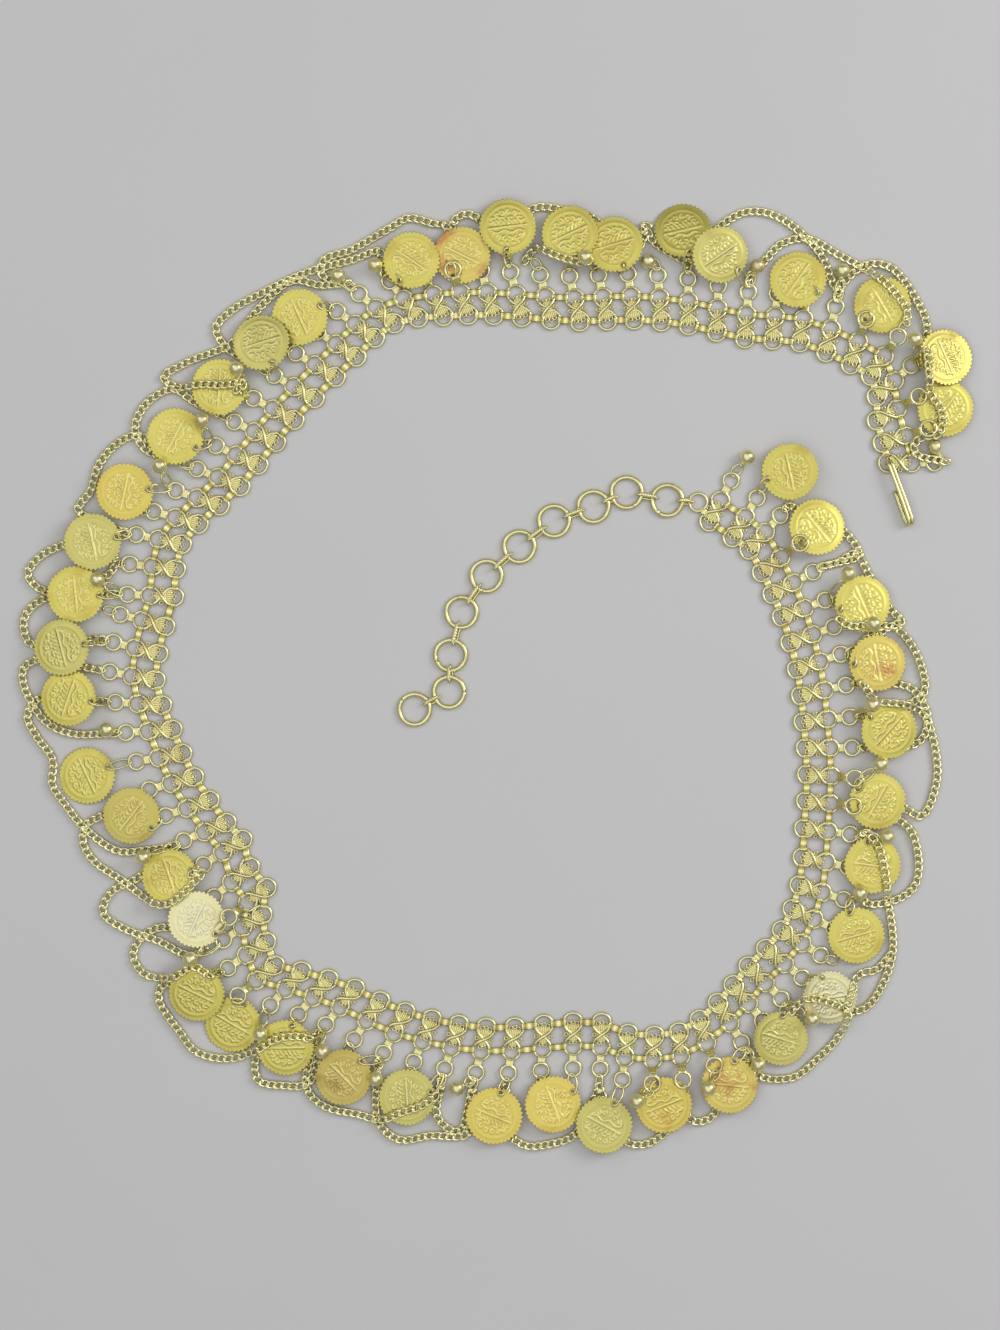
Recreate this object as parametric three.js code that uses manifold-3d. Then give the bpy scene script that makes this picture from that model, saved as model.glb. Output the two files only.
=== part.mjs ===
// Coin chain belt, laid flat: a net of rings and stamped links, 44 scalloped coins,
// hanging curb-chain swags, an extension chain of ten rings and a wire hook.
// Millimetres, +Z up. The belt lies on z = 0 and its inner (waist) edge is ring row 1.
import * as THREE from "three";
import { mergeVertices } from "three/addons/utils/BufferGeometryUtils.js";
import Module from "manifold-3d";

const wasm = await Module();
wasm.setup();

// ---------- driving dimensions ----------
const NET = {
  columns: 89, // ring columns, each three rings deep
  thick: 1.6,
  row2: 7.6, // from ring row 1, outwards
  row3: 14.8,
  ring1: 3.3, // outer radius of each row's rings
  ring2: 3.2,
  ring3: 2.85,
  hole: 2.4, // row 1 ring's open radius
  waist: 1.4, // half width of a stamped link's waist
  clip: 1.1, // half height of a ribbed clip
  tip1: 1.9, // half width of a row 1 ring's blunt tip
  tip3: 1.3, // half width of a row 3 ring's blunt tip
  notch: 1.7, // depth between two row 1 rings, as a share of the clip
};
const GAP = 0.3;
const SLIVER = 0.02; // edges shorter than this, left where two chains cross, are closed up
const OVER = 0.3; // a chain's third coordinate above this means that it lies over coins
const CHAIN = { radius: 1.2, sides: 3, step: 6.5 };
const EDGE = { out: NET.row3 + NET.ring3 + 2 * GAP + 0.5, half: 0.5, thick: 1.6 };
const COIN = {
  radius: 9.25,
  thick: 0.6,
  sides: 16,
  near: 2, // least height of its pendant edge
  felt: 24, // points round a coin that a higher coin can rest on
  margin: 0.9, // how far outside its rim a coin still feels what is under it
};
const LINK_RING = { radius: 4.85, wire: 0.65, around: 10, sides: 4 };
const LINK = {
  width: 2.6,
  thick: 1.2,
  reach: 1.4, // how far it runs in over the ring before
  start: 1.1, // how far it runs in over its own ring
  middle: 2.6, // height of its middle
  post: { long: 1, wide: 1.4, tall: 1.6, middle: 1.5 }, // the foot that joins it to its own ring
};
const HOOK = {
  x: 125.3,
  y: 68.8,
  toward: -70, // degrees, the way it points from its ring
  length: 21.5,
  width: 3,
  wire: 1.1,
  arm: 2.6, // height of the underside of the upper run
  leg: 0.2, // height of the underside of the returned run
  legStart: 9,
  post: 0.75,
};
const END_RING = { x: 64.7, y: 56.2, radius: 3.3, hole: 2.5 };
const ORIGIN = { x: 0, y: 0.6 }; // the middle of the belt's box in the tables' coordinates

const BRASS = { color: 0xb99a55, roughness: 0.34, metalness: 1 };
const COIN_GOLD = { color: 0xc9ad68, roughness: 0.3, metalness: 1 };
const WIRE = { color: 0xa88b4e, roughness: 0.32, metalness: 1 };

// ---------- where the net lies: some of its columns, the rest are interpolated ----------
// column number, ring 1 centre, direction outwards in degrees
const COLUMNS = [
  { n: 1, x: 125.3, y: 68.8, out: 0 },
  { n: 2, x: 123.6, y: 75.2, out: 17 },
  { n: 3, x: 121.7, y: 82.3, out: 30 },
  { n: 4, x: 121.7, y: 90.0, out: 42 },
  { n: 5, x: 119.8, y: 96.6, out: 56 },
  { n: 6, x: 113.4, y: 100.3, out: 72 },
  { n: 8, x: 97.2, y: 107.3, out: 82 },
  { n: 10, x: 79.6, y: 108.6, out: 86 },
  { n: 12, x: 61.6, y: 112.8, out: 91 },
  { n: 14, x: 44.2, y: 114.6, out: 98 },
  { n: 16, x: 26.8, y: 114.0, out: 103 },
  { n: 19, x: -0.7, y: 116.0, out: 106 },
  { n: 21, x: -16.8, y: 115.7, out: 115 },
  { n: 23, x: -32.5, y: 113.4, out: 140 },
  { n: 25, x: -44.7, y: 102.7, out: 147 },
  { n: 28, x: -64.5, y: 82.5, out: 152 },
  { n: 31, x: -81.8, y: 61.3, out: 158 },
  { n: 34, x: -100.5, y: 42.8, out: 168 },
  { n: 36, x: -103.0, y: 26.0, out: 177 },
  { n: 37, x: -105.8, y: 16.5, out: 165 },
  { n: 39, x: -108.9, y: -0.6, out: 170 },
  { n: 41, x: -103.5, y: -16.4, out: 184 },
  { n: 43, x: -96.6, y: -31.6, out: 196 },
  { n: 45, x: -86.2, y: -46.2, out: 203 },
  { n: 46, x: -81.1, y: -51.6, out: 213 },
  { n: 47, x: -78.7, y: -60.4, out: 220 },
  { n: 48, x: -73.4, y: -67.0, out: 218 },
  { n: 49, x: -74.7, y: -75.6, out: 213 },
  { n: 51, x: -70.7, y: -91.8, out: 219 },
  { n: 52, x: -62.2, y: -93.7, out: 228 },
  { n: 54, x: -45.1, y: -99.3, out: 231 },
  { n: 56, x: -29.0, y: -106.8, out: 242 },
  { n: 59, x: -3.1, y: -111.8, out: 257 },
  { n: 62, x: 24.6, y: -110.0, out: 270 },
  { n: 63, x: 33.8, y: -110.2, out: 268 },
  { n: 64, x: 42.2, y: -113.7, out: 263 },
  { n: 66, x: 58.5, y: -113.2, out: 274 },
  { n: 68, x: 70.9, y: -103.8, out: 301 },
  { n: 70, x: 80.7, y: -92.1, out: 315 },
  { n: 72, x: 91.4, y: -80.6, out: 327 },
  { n: 74, x: 97.0, y: -66.2, out: 342 },
  { n: 76, x: 98.5, y: -48.1, out: 353 },
  { n: 78, x: 99.4, y: -30.8, out: 356 },
  { n: 80, x: 98.3, y: -14.0, out: 366 },
  { n: 82, x: 96.2, y: 2.8, out: 379 },
  { n: 84, x: 91.4, y: 19.6, out: 381 },
  { n: 86, x: 85.0, y: 33.8, out: 398 },
  { n: 87, x: 81.0, y: 41.0, out: 408 },
  { n: 88, x: 75.6, y: 45.0, out: 418 },
  { n: 89, x: 68.2, y: 50.0, out: 422 },
];

// ---------- coins: centre, direction from the centre to the pendant hole, layer in a heap ----------
const COINS = [
  { x: 143.2, y: 102.2, hole: 200, layer: 1 },
  { x: 143.3, y: 86.0, hole: 155, layer: 0 },
  { x: 123.2, y: 119.1, hole: 221, layer: 0 },
  { x: 96.3, y: 127.1, hole: 326, layer: 0 },
  { x: 71.3, y: 134.7, hole: 322, layer: 1 },
  { x: 59.6, y: 142.8, hole: 285, layer: 0 },
  { x: 37.8, y: 138.2, hole: 293, layer: 0 },
  { x: 23.6, y: 141.6, hole: 288, layer: 1 },
  { x: 3.7, y: 143.7, hole: 267, layer: 1 },
  { x: -10.8, y: 134.9, hole: 246, layer: 0 },
  { x: -27.0, y: 133.2, hole: 241, layer: 1 },
  { x: -62.7, y: 115.2, hole: 28, layer: 0 },
  { x: -74.7, y: 106.8, hole: 300, layer: 1 },
  { x: -88.2, y: 92.8, hole: 345, layer: 0 },
  { x: -102.3, y: 77.1, hole: 330, layer: 0 },
  { x: -118.3, y: 59.4, hole: 6, layer: 2 },
  { x: -128.6, y: 43.5, hole: 11, layer: 1 },
  { x: -134.1, y: 26.7, hole: 358, layer: 0 },
  { x: -138.3, y: 9.7, hole: 8, layer: 1 },
  { x: -136.2, y: -6.3, hole: 351, layer: 0 },
  { x: -130.7, y: -31.3, hole: 23, layer: 0 },
  { x: -116.4, y: -44.0, hole: 327, layer: 1 },
  { x: -104.2, y: -63.2, hole: 15, layer: 0 },
  { x: -95.5, y: -76.9, hole: 322, layer: 1 },
  { x: -95.5, y: -100.6, hole: 54, layer: 1 },
  { x: -84.1, y: -110.6, hole: 61, layer: 0 },
  { x: -67.1, y: -117.8, hole: 73, layer: 1 },
  { x: -48.7, y: -127.3, hole: 43, layer: 0 },
  { x: -28.4, y: -133.7, hole: 11, layer: 0 },
  { x: -0.6, y: -139.7, hole: 74, layer: 0 },
  { x: 18.2, y: -136.0, hole: 31, layer: 0 },
  { x: 34.4, y: -142.5, hole: 64, layer: 1 },
  { x: 53.6, y: -136.2, hole: 106, layer: 0 },
  { x: 74.5, y: -129.8, hole: 80, layer: 0 },
  { x: 90.8, y: -115.0, hole: 86, layer: 1 },
  { x: 106.2, y: -101.8, hole: 111, layer: 0 },
  { x: 115.0, y: -82.2, hole: 107, layer: 0 },
  { x: 120.1, y: -59.7, hole: 101, layer: 0 },
  { x: 121.6, y: -39.3, hole: 152, layer: 0 },
  { x: 125.2, y: -16.7, hole: 145, layer: 0 },
  { x: 121.6, y: 4.8, hole: 184, layer: 0 },
  { x: 116.8, y: 23.6, hole: 194, layer: 0 },
  { x: 102.3, y: 48.1, hole: 221, layer: 0 },
  { x: 93.6, y: 65.7, hole: 198, layer: 0 },
];

// ---------- chain swags: the points they are laid through; a third value of 1 lies over coins ----------
const SWAGS = [
  [
    [131, 101], [134.4, 95.5], [138.4, 90.5, 1], [141.5, 86, 1], [142.3, 81.5, 1], [140.5, 77.2, 1],
    [136.5, 74.8],
  ],
  [
    [84.5, 128.5], [86.5, 134], [91, 138.6], [99, 140.5], [110, 135], [118, 130.6, 1],
    [126.5, 123.3, 1], [131, 116.5, 1], [131.5, 110.5],
  ],
  [[61, 133], [72.5, 145], [80, 149], [88, 148.3], [96, 143.5], [104, 135], [107.8, 126], [108, 121.5]],
  [
    [107.7, 119.5], [110.5, 125.5], [116, 131], [121, 132.5], [127, 130.6], [135, 119.8], [137.8, 112],
    [133, 101],
  ],
  [[56.5, 132.5], [50, 140], [47.8, 145], [46.5, 139], [44, 131]],
  [[44.5, 131], [38, 140], [30, 147.5], [22, 149.6], [13, 150.4], [8, 147], [7, 135]],
  [[6, 131], [0, 141], [-5.5, 146.8], [-9.5, 148.3], [-13, 146.5], [-13, 133]],
  [
    [-13, 131], [-16, 144.5], [-20, 145.3], [-28, 147], [-34, 143.8], [-46, 137], [-55, 133.5],
    [-55.7, 129], [-50, 125.6],
  ],
  [
    [-33, 128], [-37, 136.5], [-46, 133.7], [-58, 130.5], [-66, 127.4], [-74, 123.5], [-84, 117.8],
    [-89.5, 112], [-86.5, 106], [-76, 98.5],
  ],
  [
    [-50, 125], [-56, 125.6], [-65, 127], [-75, 119], [-85, 106.5], [-90, 104.3], [-99, 100.8],
    [-106.2, 96], [-101.5, 93, 1], [-94, 93.6, 1], [-87, 93.3, 1], [-80, 94, 1], [-75, 92],
  ],
  [
    [-83, 82], [-91, 83.5], [-97, 88.6], [-103, 92.4], [-111.5, 88], [-115.3, 80.5], [-112.5, 73.5],
    [-98, 67],
  ],
  [[-100, 69], [-114.5, 77.5], [-121, 75], [-127, 68], [-129.8, 59.5], [-133.5, 53.8], [-118, 49]],
  [[-118, 47], [-138.5, 42.5], [-146, 38.5], [-149.6, 33], [-144, 27.8], [-124, 33]],
  [[-124, 30], [-144, 25.5], [-149.5, 21.5], [-151, 17.5], [-148.8, 11], [-129, 8]],
  [
    [-129, 5], [-146, 6], [-151, 3], [-151, -2], [-147.5, -9.5], [-142.5, -15], [-135, -17.8],
    [-124, -18],
  ],
  [
    [-126, -4], [-145, -6], [-149.8, -12], [-147, -18.5], [-141.8, -26], [-141.8, -34], [-138, -40],
    [-131.5, -48], [-121, -55.2], [-112, -55], [-103, -51],
  ],
  [
    [-108, -38], [-124, -43], [-131, -47], [-132, -52.5], [-128.5, -58.5], [-119, -65],
    [-111.5, -70.6], [-106, -72.2, 1], [-100.7, -69.5, 1], [-96.7, -65.6, 1], [-93.4, -61.6, 1], [-90, -59],
  ],
  [
    [-102, -56], [-114, -63.5], [-123, -68.5], [-125.6, -75], [-119, -80], [-108, -84], [-98, -88.6],
    [-90, -88.6],
  ],
  [
    [-94, -78], [-110, -80.5], [-116, -88], [-112.5, -94.5, 1], [-104, -95.6, 1], [-96, -91.8, 1],
    [-86.5, -92.5],
  ],
  [
    [-90, -96], [-106.8, -98.5], [-107.7, -103], [-105, -108], [-101.2, -113], [-97, -118.6],
    [-91.8, -121], [-84, -121.5], [-77, -119, 1], [-70, -114.8, 1], [-62, -114, 1], [-55, -115],
  ],
  [
    [-70, -110], [-76.5, -121], [-76, -128.5], [-67, -130.3], [-60.5, -129.8], [-57.3, -124],
    [-54.5, -116.5],
  ],
  [
    [-59, -117], [-60.5, -131], [-55, -136.8], [-44, -139.5], [-37.5, -141, 1], [-30, -138.3, 1],
    [-23.5, -136, 1], [-17, -131, 1], [-13, -127.5],
  ],
  [[-33, -123], [-37.5, -142], [-31, -147.5], [-21, -146.3], [-9, -145.5], [-3, -131]],
  [[0, -131], [3, -144], [9, -149.3], [17, -149], [25, -146], [30, -130]],
  [[36, -130], [38, -143], [42.5, -148.6], [49, -148.6], [56, -143], [58, -131.5]],
  [[59, -131], [60, -138], [63.5, -141.7], [69, -140.2], [73, -131], [75, -121]],
  [
    [77, -120], [84, -127], [95, -127.6], [103, -121.5], [109.5, -114.5, 1], [112, -107, 1],
    [108, -104, 1], [98.5, -102, 1], [94, -99.5],
  ],
  [
    [97, -96], [109, -106], [118, -105.5], [124, -97], [126.8, -87], [126.2, -77], [124.8, -69.5, 1],
    [124, -62, 1], [121.5, -53, 1], [117.5, -48.5, 1], [114, -46],
  ],
  [[113, -66], [118, -71.6], [128.5, -70.6], [134, -66], [134.8, -56], [131.5, -47.5], [115, -44]],
  [
    [114, -37], [129, -41], [136, -44], [140.8, -33], [140, -21], [136.5, -11.5, 1], [129, -8.3, 1],
    [121, -7, 1], [114.5, -6],
  ],
  [[114, -20], [135, -20.5], [138, -13], [133, -3.5], [114, -3.5]],
  [[112, 10], [125, 17], [130.5, 13.5], [135.5, 5], [136.8, -4.5], [131.5, -8.5]],
  [[100, 34], [109, 36.8], [115, 39.8], [118.6, 34], [121.8, 28.5], [125.6, 22.5], [129.5, 18], [126, 16.5]],
  [[93, 55], [101, 51.5], [107.5, 49], [111.8, 46.3], [115.8, 39.5]],
  [[-16, -128], [-18.6, -140.5], [-12, -145]],
];

// The extension chain's rings, from the belt's end to the loose end.
const EXTENSION = [
  { x: 54.8, y: 56.8 },
  { x: 41.8, y: 59.3 },
  { x: 31.2, y: 54.8 },
  { x: 18.6, y: 50.2 },
  { x: 7.5, y: 42.0 },
  { x: -3.0, y: 32.6 },
  { x: -11.0, y: 21.0 },
  { x: -14.5, y: 7.3 },
  { x: -15.0, y: -4.5 },
  { x: -26.0, y: -10.0 },
];

// ---------- small helpers ----------
const radians = (degrees) => (degrees * Math.PI) / 180;

const solid = (geometry) => {
  geometry.deleteAttribute("normal");
  geometry.deleteAttribute("uv");
  const merged = mergeVertices(geometry, 1e-3);
  return new wasm.Manifold(
    new wasm.Mesh({
      numProp: 3,
      vertProperties: new Float32Array(merged.attributes.position.array),
      triVerts: new Uint32Array(merged.index.array),
    }),
  );
};

const geometryOf = (manifold) => {
  const mesh = manifold.getMesh();
  const geometry = new THREE.BufferGeometry();
  geometry.setAttribute("position", new THREE.BufferAttribute(mesh.vertProperties, 3));
  geometry.setIndex(new THREE.BufferAttribute(mesh.triVerts, 1));
  geometry.computeVertexNormals();
  return geometry;
};

// Outlines run anticlockwise and holes clockwise.
const wound = (points, clockwise) =>
  THREE.ShapeUtils.isClockWise(points) === clockwise ? points : [...points].reverse();

const plate = (outline, holes, thick) => {
  const shape = new THREE.Shape(wound(outline, false));
  shape.holes = holes.map((points) => new THREE.Path(wound(points, true)));
  return new THREE.ExtrudeGeometry(shape, { depth: thick, bevelEnabled: false });
};

const regular = (centre, radius, sides, turn) =>
  Array.from({ length: sides }, (_, i) => {
    const angle = turn + (2 * Math.PI * i) / sides;
    return new THREE.Vector2(centre.x + radius * Math.cos(angle), centre.y + radius * Math.sin(angle));
  });

const chainTube = (points) => {
  const section = new THREE.Shape(regular({ x: 0, y: 0 }, CHAIN.radius, CHAIN.sides, 0));
  const path = new THREE.CatmullRomCurve3(points, false, "centripetal");
  const steps = points.length - 1;
  return solid(new THREE.ExtrudeGeometry(section, { steps, extrudePath: path, bevelEnabled: false }));
};

// ---------- the net ----------
// A column's place from the table, by a cubic through its neighbours' rows.
function column(n) {
  let i = COLUMNS.findIndex((row) => row.n >= n);
  i = Math.min(Math.max(i, 1), COLUMNS.length - 1);
  const rows = [COLUMNS[i - 2] ?? COLUMNS[i - 1], COLUMNS[i - 1], COLUMNS[i], COLUMNS[i + 1] ?? COLUMNS[i]];
  const span = rows[2].n - rows[1].n;
  const t = (n - rows[1].n) / span;
  const cubic = (key) => {
    const [a, b, c, d] = rows.map((row) => row[key]);
    const m1 = ((c - a) / (rows[2].n - rows[0].n)) * span;
    const m2 = ((d - b) / (rows[3].n - rows[1].n)) * span;
    const t2 = t * t;
    const t3 = t2 * t;
    return (2 * t3 - 3 * t2 + 1) * b + (t3 - 2 * t2 + t) * m1 + (3 * t2 - 2 * t3) * c + (t3 - t2) * m2;
  };
  return { x: cubic("x"), y: cubic("y"), out: radians(cubic("out")) };
}

const columns = Array.from({ length: NET.columns }, (_, i) => column(i + 1));

// A point of a column: along the belt (towards the next column) and outwards from ring 1.
function at(col, along, outwards) {
  const c = Math.cos(col.out);
  const s = Math.sin(col.out);
  return new THREE.Vector2(col.x + outwards * c - along * s, col.y + outwards * s + along * c);
}

const between = (a, b) => a.clone().add(b).multiplyScalar(0.5);

// The strip outside row 3 runs further out where a neighbouring column stands proud.
columns.forEach((col, i) => {
  const proud = [columns[i - 1], columns[i + 1]].filter(Boolean).map((near) => {
    const ring = at(near, 0, NET.row3);
    return (ring.x - col.x) * Math.cos(col.out) + (ring.y - col.y) * Math.sin(col.out) - NET.row3;
  });
  col.edge = EDGE.out + Math.max(0, ...proud) / 2;
});

function netStretch(from, to) {
  const cols = columns.slice(from - 1, to);
  const last = cols.length - 1;
  const tip1 = Math.sqrt(NET.ring1 ** 2 - NET.tip1 ** 2);
  const tip3 = NET.row3 + Math.sqrt(NET.ring3 ** 2 - NET.tip3 ** 2);
  const neck = (NET.row2 + NET.row3) / 2;
  const notch = NET.notch * NET.clip;
  const outline = [];
  // the free end of the first or last column, from the inner edge outwards
  const end = (col, side) => [
    at(col, side * NET.ring1, 0),
    at(col, side * NET.waist, NET.row2 / 2),
    at(col, side * NET.ring2, NET.row2),
    at(col, side * NET.waist, neck),
  ];
  cols.forEach((col, i) => {
    outline.push(at(col, -NET.tip1, -tip1), at(col, NET.tip1, -tip1));
    if (i < last) outline.push(between(at(col, NET.ring1, -notch), at(cols[i + 1], -NET.ring1, -notch)));
  });
  outline.push(...end(cols[last], 1));
  for (let i = last; i >= 0; i--) {
    const col = cols[i];
    if (i < last) outline.push(at(col, NET.waist, neck));
    outline.push(at(col, NET.ring3, NET.row3), at(col, NET.tip3, tip3));
    outline.push(at(col, -NET.tip3, tip3), at(col, -NET.ring3, NET.row3));
    if (i > 0) {
      outline.push(at(col, -NET.waist, neck));
      const bottom = NET.row2 + NET.clip;
      outline.push(between(at(col, -NET.ring2, bottom), at(cols[i - 1], NET.ring2, bottom)));
    }
  }
  outline.push(...end(cols[0], -1).reverse());
  const holes = cols.map((col) => regular(at(col, 0, 0), NET.hole, 6, col.out));
  for (let i = 0; i < last; i++) {
    const next = cols[i + 1];
    const gap = [
      between(at(cols[i], NET.ring1, NET.clip), at(next, -NET.ring1, NET.clip)),
      at(next, -NET.waist, NET.row2 / 2),
      between(at(cols[i], NET.ring2, NET.row2 - NET.clip), at(next, -NET.ring2, NET.row2 - NET.clip)),
      at(cols[i], NET.waist, NET.row2 / 2),
    ];
    const middle = between(between(gap[0], gap[2]), between(gap[1], gap[3]));
    holes.push(gap.map((p) => p.lerp(middle, 0.1)));
  }
  return solid(plate(outline, holes, NET.thick));
}

// The single ring that ends the net and takes the extension chain.
function endRing() {
  const last = columns[NET.columns - 1];
  const hole = regular(END_RING, END_RING.hole, 6, 0);
  const ring = plate(regular(END_RING, END_RING.radius, 8, 0), [hole], NET.thick);
  const gap = new THREE.Vector2(END_RING.x - last.x, END_RING.y - last.y);
  const clipLength = gap.length() - 2 * NET.hole;
  const clip = new THREE.BoxGeometry(clipLength, 2 * NET.clip, NET.thick);
  clip.rotateZ(gap.angle());
  clip.translate(last.x + gap.x / 2, last.y + gap.y / 2, NET.thick / 2);
  return solid(ring).add(solid(clip));
}

// ---------- where the swags run ----------
const edgePoint = (col) => at(col, 0, col.edge + 0.8 * EDGE.half);

// A swag's ends hang from the nearest columns, and the rest of it stays outside the net's edge.
const nearestColumn = (x, y) => {
  const distance = (col) => edgePoint(col).distanceTo(new THREE.Vector2(x, y));
  return columns.reduce((best, col) => (distance(col) < distance(best) ? col : best));
};

function hung(route) {
  const clear = route.filter(([x, y]) => {
    const col = nearestColumn(x, y);
    const outwards = (x - col.x) * Math.cos(col.out) + (y - col.y) * Math.sin(col.out);
    return outwards > col.edge + 2 * CHAIN.radius;
  });
  const [first, last] = [route[0], route.at(-1)].map(([x, y]) => edgePoint(nearestColumn(x, y)));
  return [[first.x, first.y], ...clear, [last.x, last.y]];
}

// A swag's course over the ground; z says whether it lies over coins there.
function course(route, step) {
  const points = route.map(([x, y, over = 0]) => new THREE.Vector3(x, y, over));
  const curve = new THREE.CatmullRomCurve3(points, false, "centripetal");
  return curve.getSpacedPoints(Math.max(3, Math.round(curve.getLength() / step)));
}

// ---------- coins ----------
const coins = COINS.map((row) => {
  const angle = radians(row.hole);
  return { ...row, dir: new THREE.Vector2(Math.cos(angle), Math.sin(angle)) };
});

// Share of the way from a coin's pendant edge (0) to its far edge (1).
const shareAcross = (coin, x, y) =>
  0.5 - ((x - coin.x) * coin.dir.x + (y - coin.y) * coin.dir.y) / (2 * COIN.radius);

const underside = (coin, x, y) => {
  const s = shareAcross(coin, x, y);
  return coin.near + (coin.far - coin.near) * s;
};

// A coin's pendant edge lies on the net's edge and its far edge on whatever is under it.
function seat(coin, supports) {
  coin.near = COIN.near;
  coin.far = 0.05;
  for (let pass = 0; pass < 8; pass++)
    for (const { x, y, top } of supports) {
      if (Math.hypot(x - coin.x, y - coin.y) > COIN.radius + COIN.margin) continue;
      const s = shareAcross(coin, x, y);
      const short = top + GAP + 0.06 - underside(coin, x, y);
      if (short <= 0) continue;
      if (s > 0.5) coin.far += short / s;
      else coin.near += short / (1 - s);
    }
}

// What a coin can lie on: rings, the edge strip, and chains that run below coins.
const groundSupports = [];
columns.forEach((col, i) => {
  for (const along of [-NET.ring3, 0, NET.ring3])
    for (const outwards of [NET.row2, NET.row3 - 2, NET.row3, NET.row3 + NET.ring3, col.edge + EDGE.half]) {
      const p = at(col, along, outwards);
      groundSupports.push({ x: p.x, y: p.y, top: NET.thick });
    }
  const next = columns[i + 1];
  if (!next) return;
  const middle = between(edgePoint(col), edgePoint(next));
  groundSupports.push({ x: middle.x, y: middle.y, top: EDGE.thick });
});
for (const route of SWAGS)
  for (const p of course(hung(route), CHAIN.step / 3))
    if (p.z < OVER) groundSupports.push({ x: p.x, y: p.y, top: 2 * CHAIN.radius + GAP / 3 });

const supports = [...groundSupports];
for (const layer of [0, 1, 2])
  for (const coin of coins.filter((c) => c.layer === layer)) {
    seat(coin, supports);
    for (const share of [0, 0.5, 0.8, 1.03])
      for (const { x, y } of regular(coin, share * COIN.radius, COIN.felt, 0))
        supports.push({ x, y, top: underside(coin, x, y) + COIN.thick });
  }

function coinSolid(coin) {
  const disc = plate(regular({ x: 0, y: 0 }, COIN.radius, COIN.sides, 0), [], COIN.thick);
  const tilt = Math.atan2(coin.near - coin.far, 2 * COIN.radius);
  disc.rotateY(-tilt);
  disc.rotateZ(radians(coin.hole));
  return disc.translate(coin.x, coin.y, (coin.near + coin.far) / 2);
}

// ---------- swags and the strip that carries them ----------
const coinTop = (x, y, reach) =>
  coins.reduce((top, coin) => {
    if (Math.hypot(x - coin.x, y - coin.y) > COIN.radius + reach) return top;
    return Math.max(top, underside(coin, x, y) + COIN.thick);
  }, 0);

// The middle of the chain at each point of its course: on the ground, or up on the coins it crosses.
function laid(points) {
  const over = points.map((p) => p.z >= OVER);
  return points.map((p, i) => {
    const lifted = over[i] || over[i - 1] || over[i + 1];
    const top = lifted ? coinTop(p.x, p.y, CHAIN.step * 0.8) : 0;
    return new THREE.Vector3(p.x, p.y, (top > 0 ? top + 2 * GAP : GAP / 3) + CHAIN.radius);
  });
}

function edgeStrip(from, to) {
  const cols = columns.slice(from - 1, to);
  const outer = cols.map((col) => at(col, 0, col.edge + EDGE.half));
  const inner = cols.map((col) => at(col, 0, col.edge - EDGE.half)).reverse();
  return solid(plate([...inner, ...outer].reverse(), [], EDGE.thick));
}

const swagSolid = (route) => chainTube(laid(course(hung(route), CHAIN.step)));

function fringe(from, to, swags) {
  let made = edgeStrip(from, to);
  for (const route of swags) made = made.add(swagSolid(route));
  return made.simplify(SLIVER);
}

// ---------- extension chain and hook ----------
function extensionRing(i) {
  const ring = new THREE.TorusGeometry(LINK_RING.radius, LINK_RING.wire, LINK_RING.sides, LINK_RING.around);
  ring.translate(EXTENSION[i].x, EXTENSION[i].y, LINK_RING.wire);
  // the ribbed oval link to the piece before it lies over both wires
  const before = i === 0 ? END_RING : EXTENSION[i - 1];
  const gap = new THREE.Vector2(before.x - EXTENSION[i].x, before.y - EXTENSION[i].y);
  const reach = i === 0 ? END_RING.radius - LINK.start - 0.1 : LINK_RING.radius - LINK.reach;
  const start = LINK_RING.radius - LINK.start;
  const length = gap.length() - reach - start;
  const link = new THREE.BoxGeometry(length, LINK.width, LINK.thick);
  link.rotateZ(gap.angle());
  const mid = gap.clone().setLength(start + length / 2);
  link.translate(EXTENSION[i].x + mid.x, EXTENSION[i].y + mid.y, LINK.middle);
  const post = new THREE.BoxGeometry(LINK.post.long, LINK.post.wide, LINK.post.tall);
  post.rotateZ(gap.angle());
  const foot = gap.clone().setLength(LINK_RING.radius);
  post.translate(EXTENSION[i].x + foot.x, EXTENSION[i].y + foot.y, LINK.post.middle);
  return solid(ring).add(solid(post)).add(solid(link));
}

function hookSolid() {
  const { length, wire, arm, leg, legStart, post, width } = HOOK;
  const side = [
    [-post, 0.4], [post, 0.4], [post, arm], [length - wire, arm], [length - wire, leg + wire],
    [legStart + 1.2, leg + wire], [legStart, leg + wire + 0.5], [legStart, leg + 0.6], [legStart + 1.2, leg],
    [length - 0.6, leg], [length, leg + 0.8], [length, arm + wire - 0.8], [length - 0.6, arm + wire],
    [-post, arm + wire],
  ].map(([s, z]) => new THREE.Vector2(s, z));
  const geometry = new THREE.ExtrudeGeometry(new THREE.Shape(side), { depth: width, bevelEnabled: false });
  geometry.translate(0, 0, -width / 2);
  geometry.rotateX(Math.PI / 2);
  geometry.rotateZ(radians(HOOK.toward));
  return geometry.translate(HOOK.x, HOOK.y, 0);
}

// ---------- the belt ----------
const belt = new THREE.Group();
const add = (name, geometry, finish) => {
  const mesh = new THREE.Mesh(geometry, new THREE.MeshStandardMaterial(finish));
  mesh.name = name;
  belt.add(mesh);
};
const numbered = (name, i) => `${name}_${String(i + 1).padStart(2, "0")}`;

const STRETCHES = [
  [1, 30],
  [31, 60],
  [61, 89],
];
STRETCHES.forEach(([from, to], i) => {
  const stretch = netStretch(from, to);
  add(`net_${i + 1}`, geometryOf(to === NET.columns ? stretch.add(endRing()) : stretch), BRASS);
});

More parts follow.
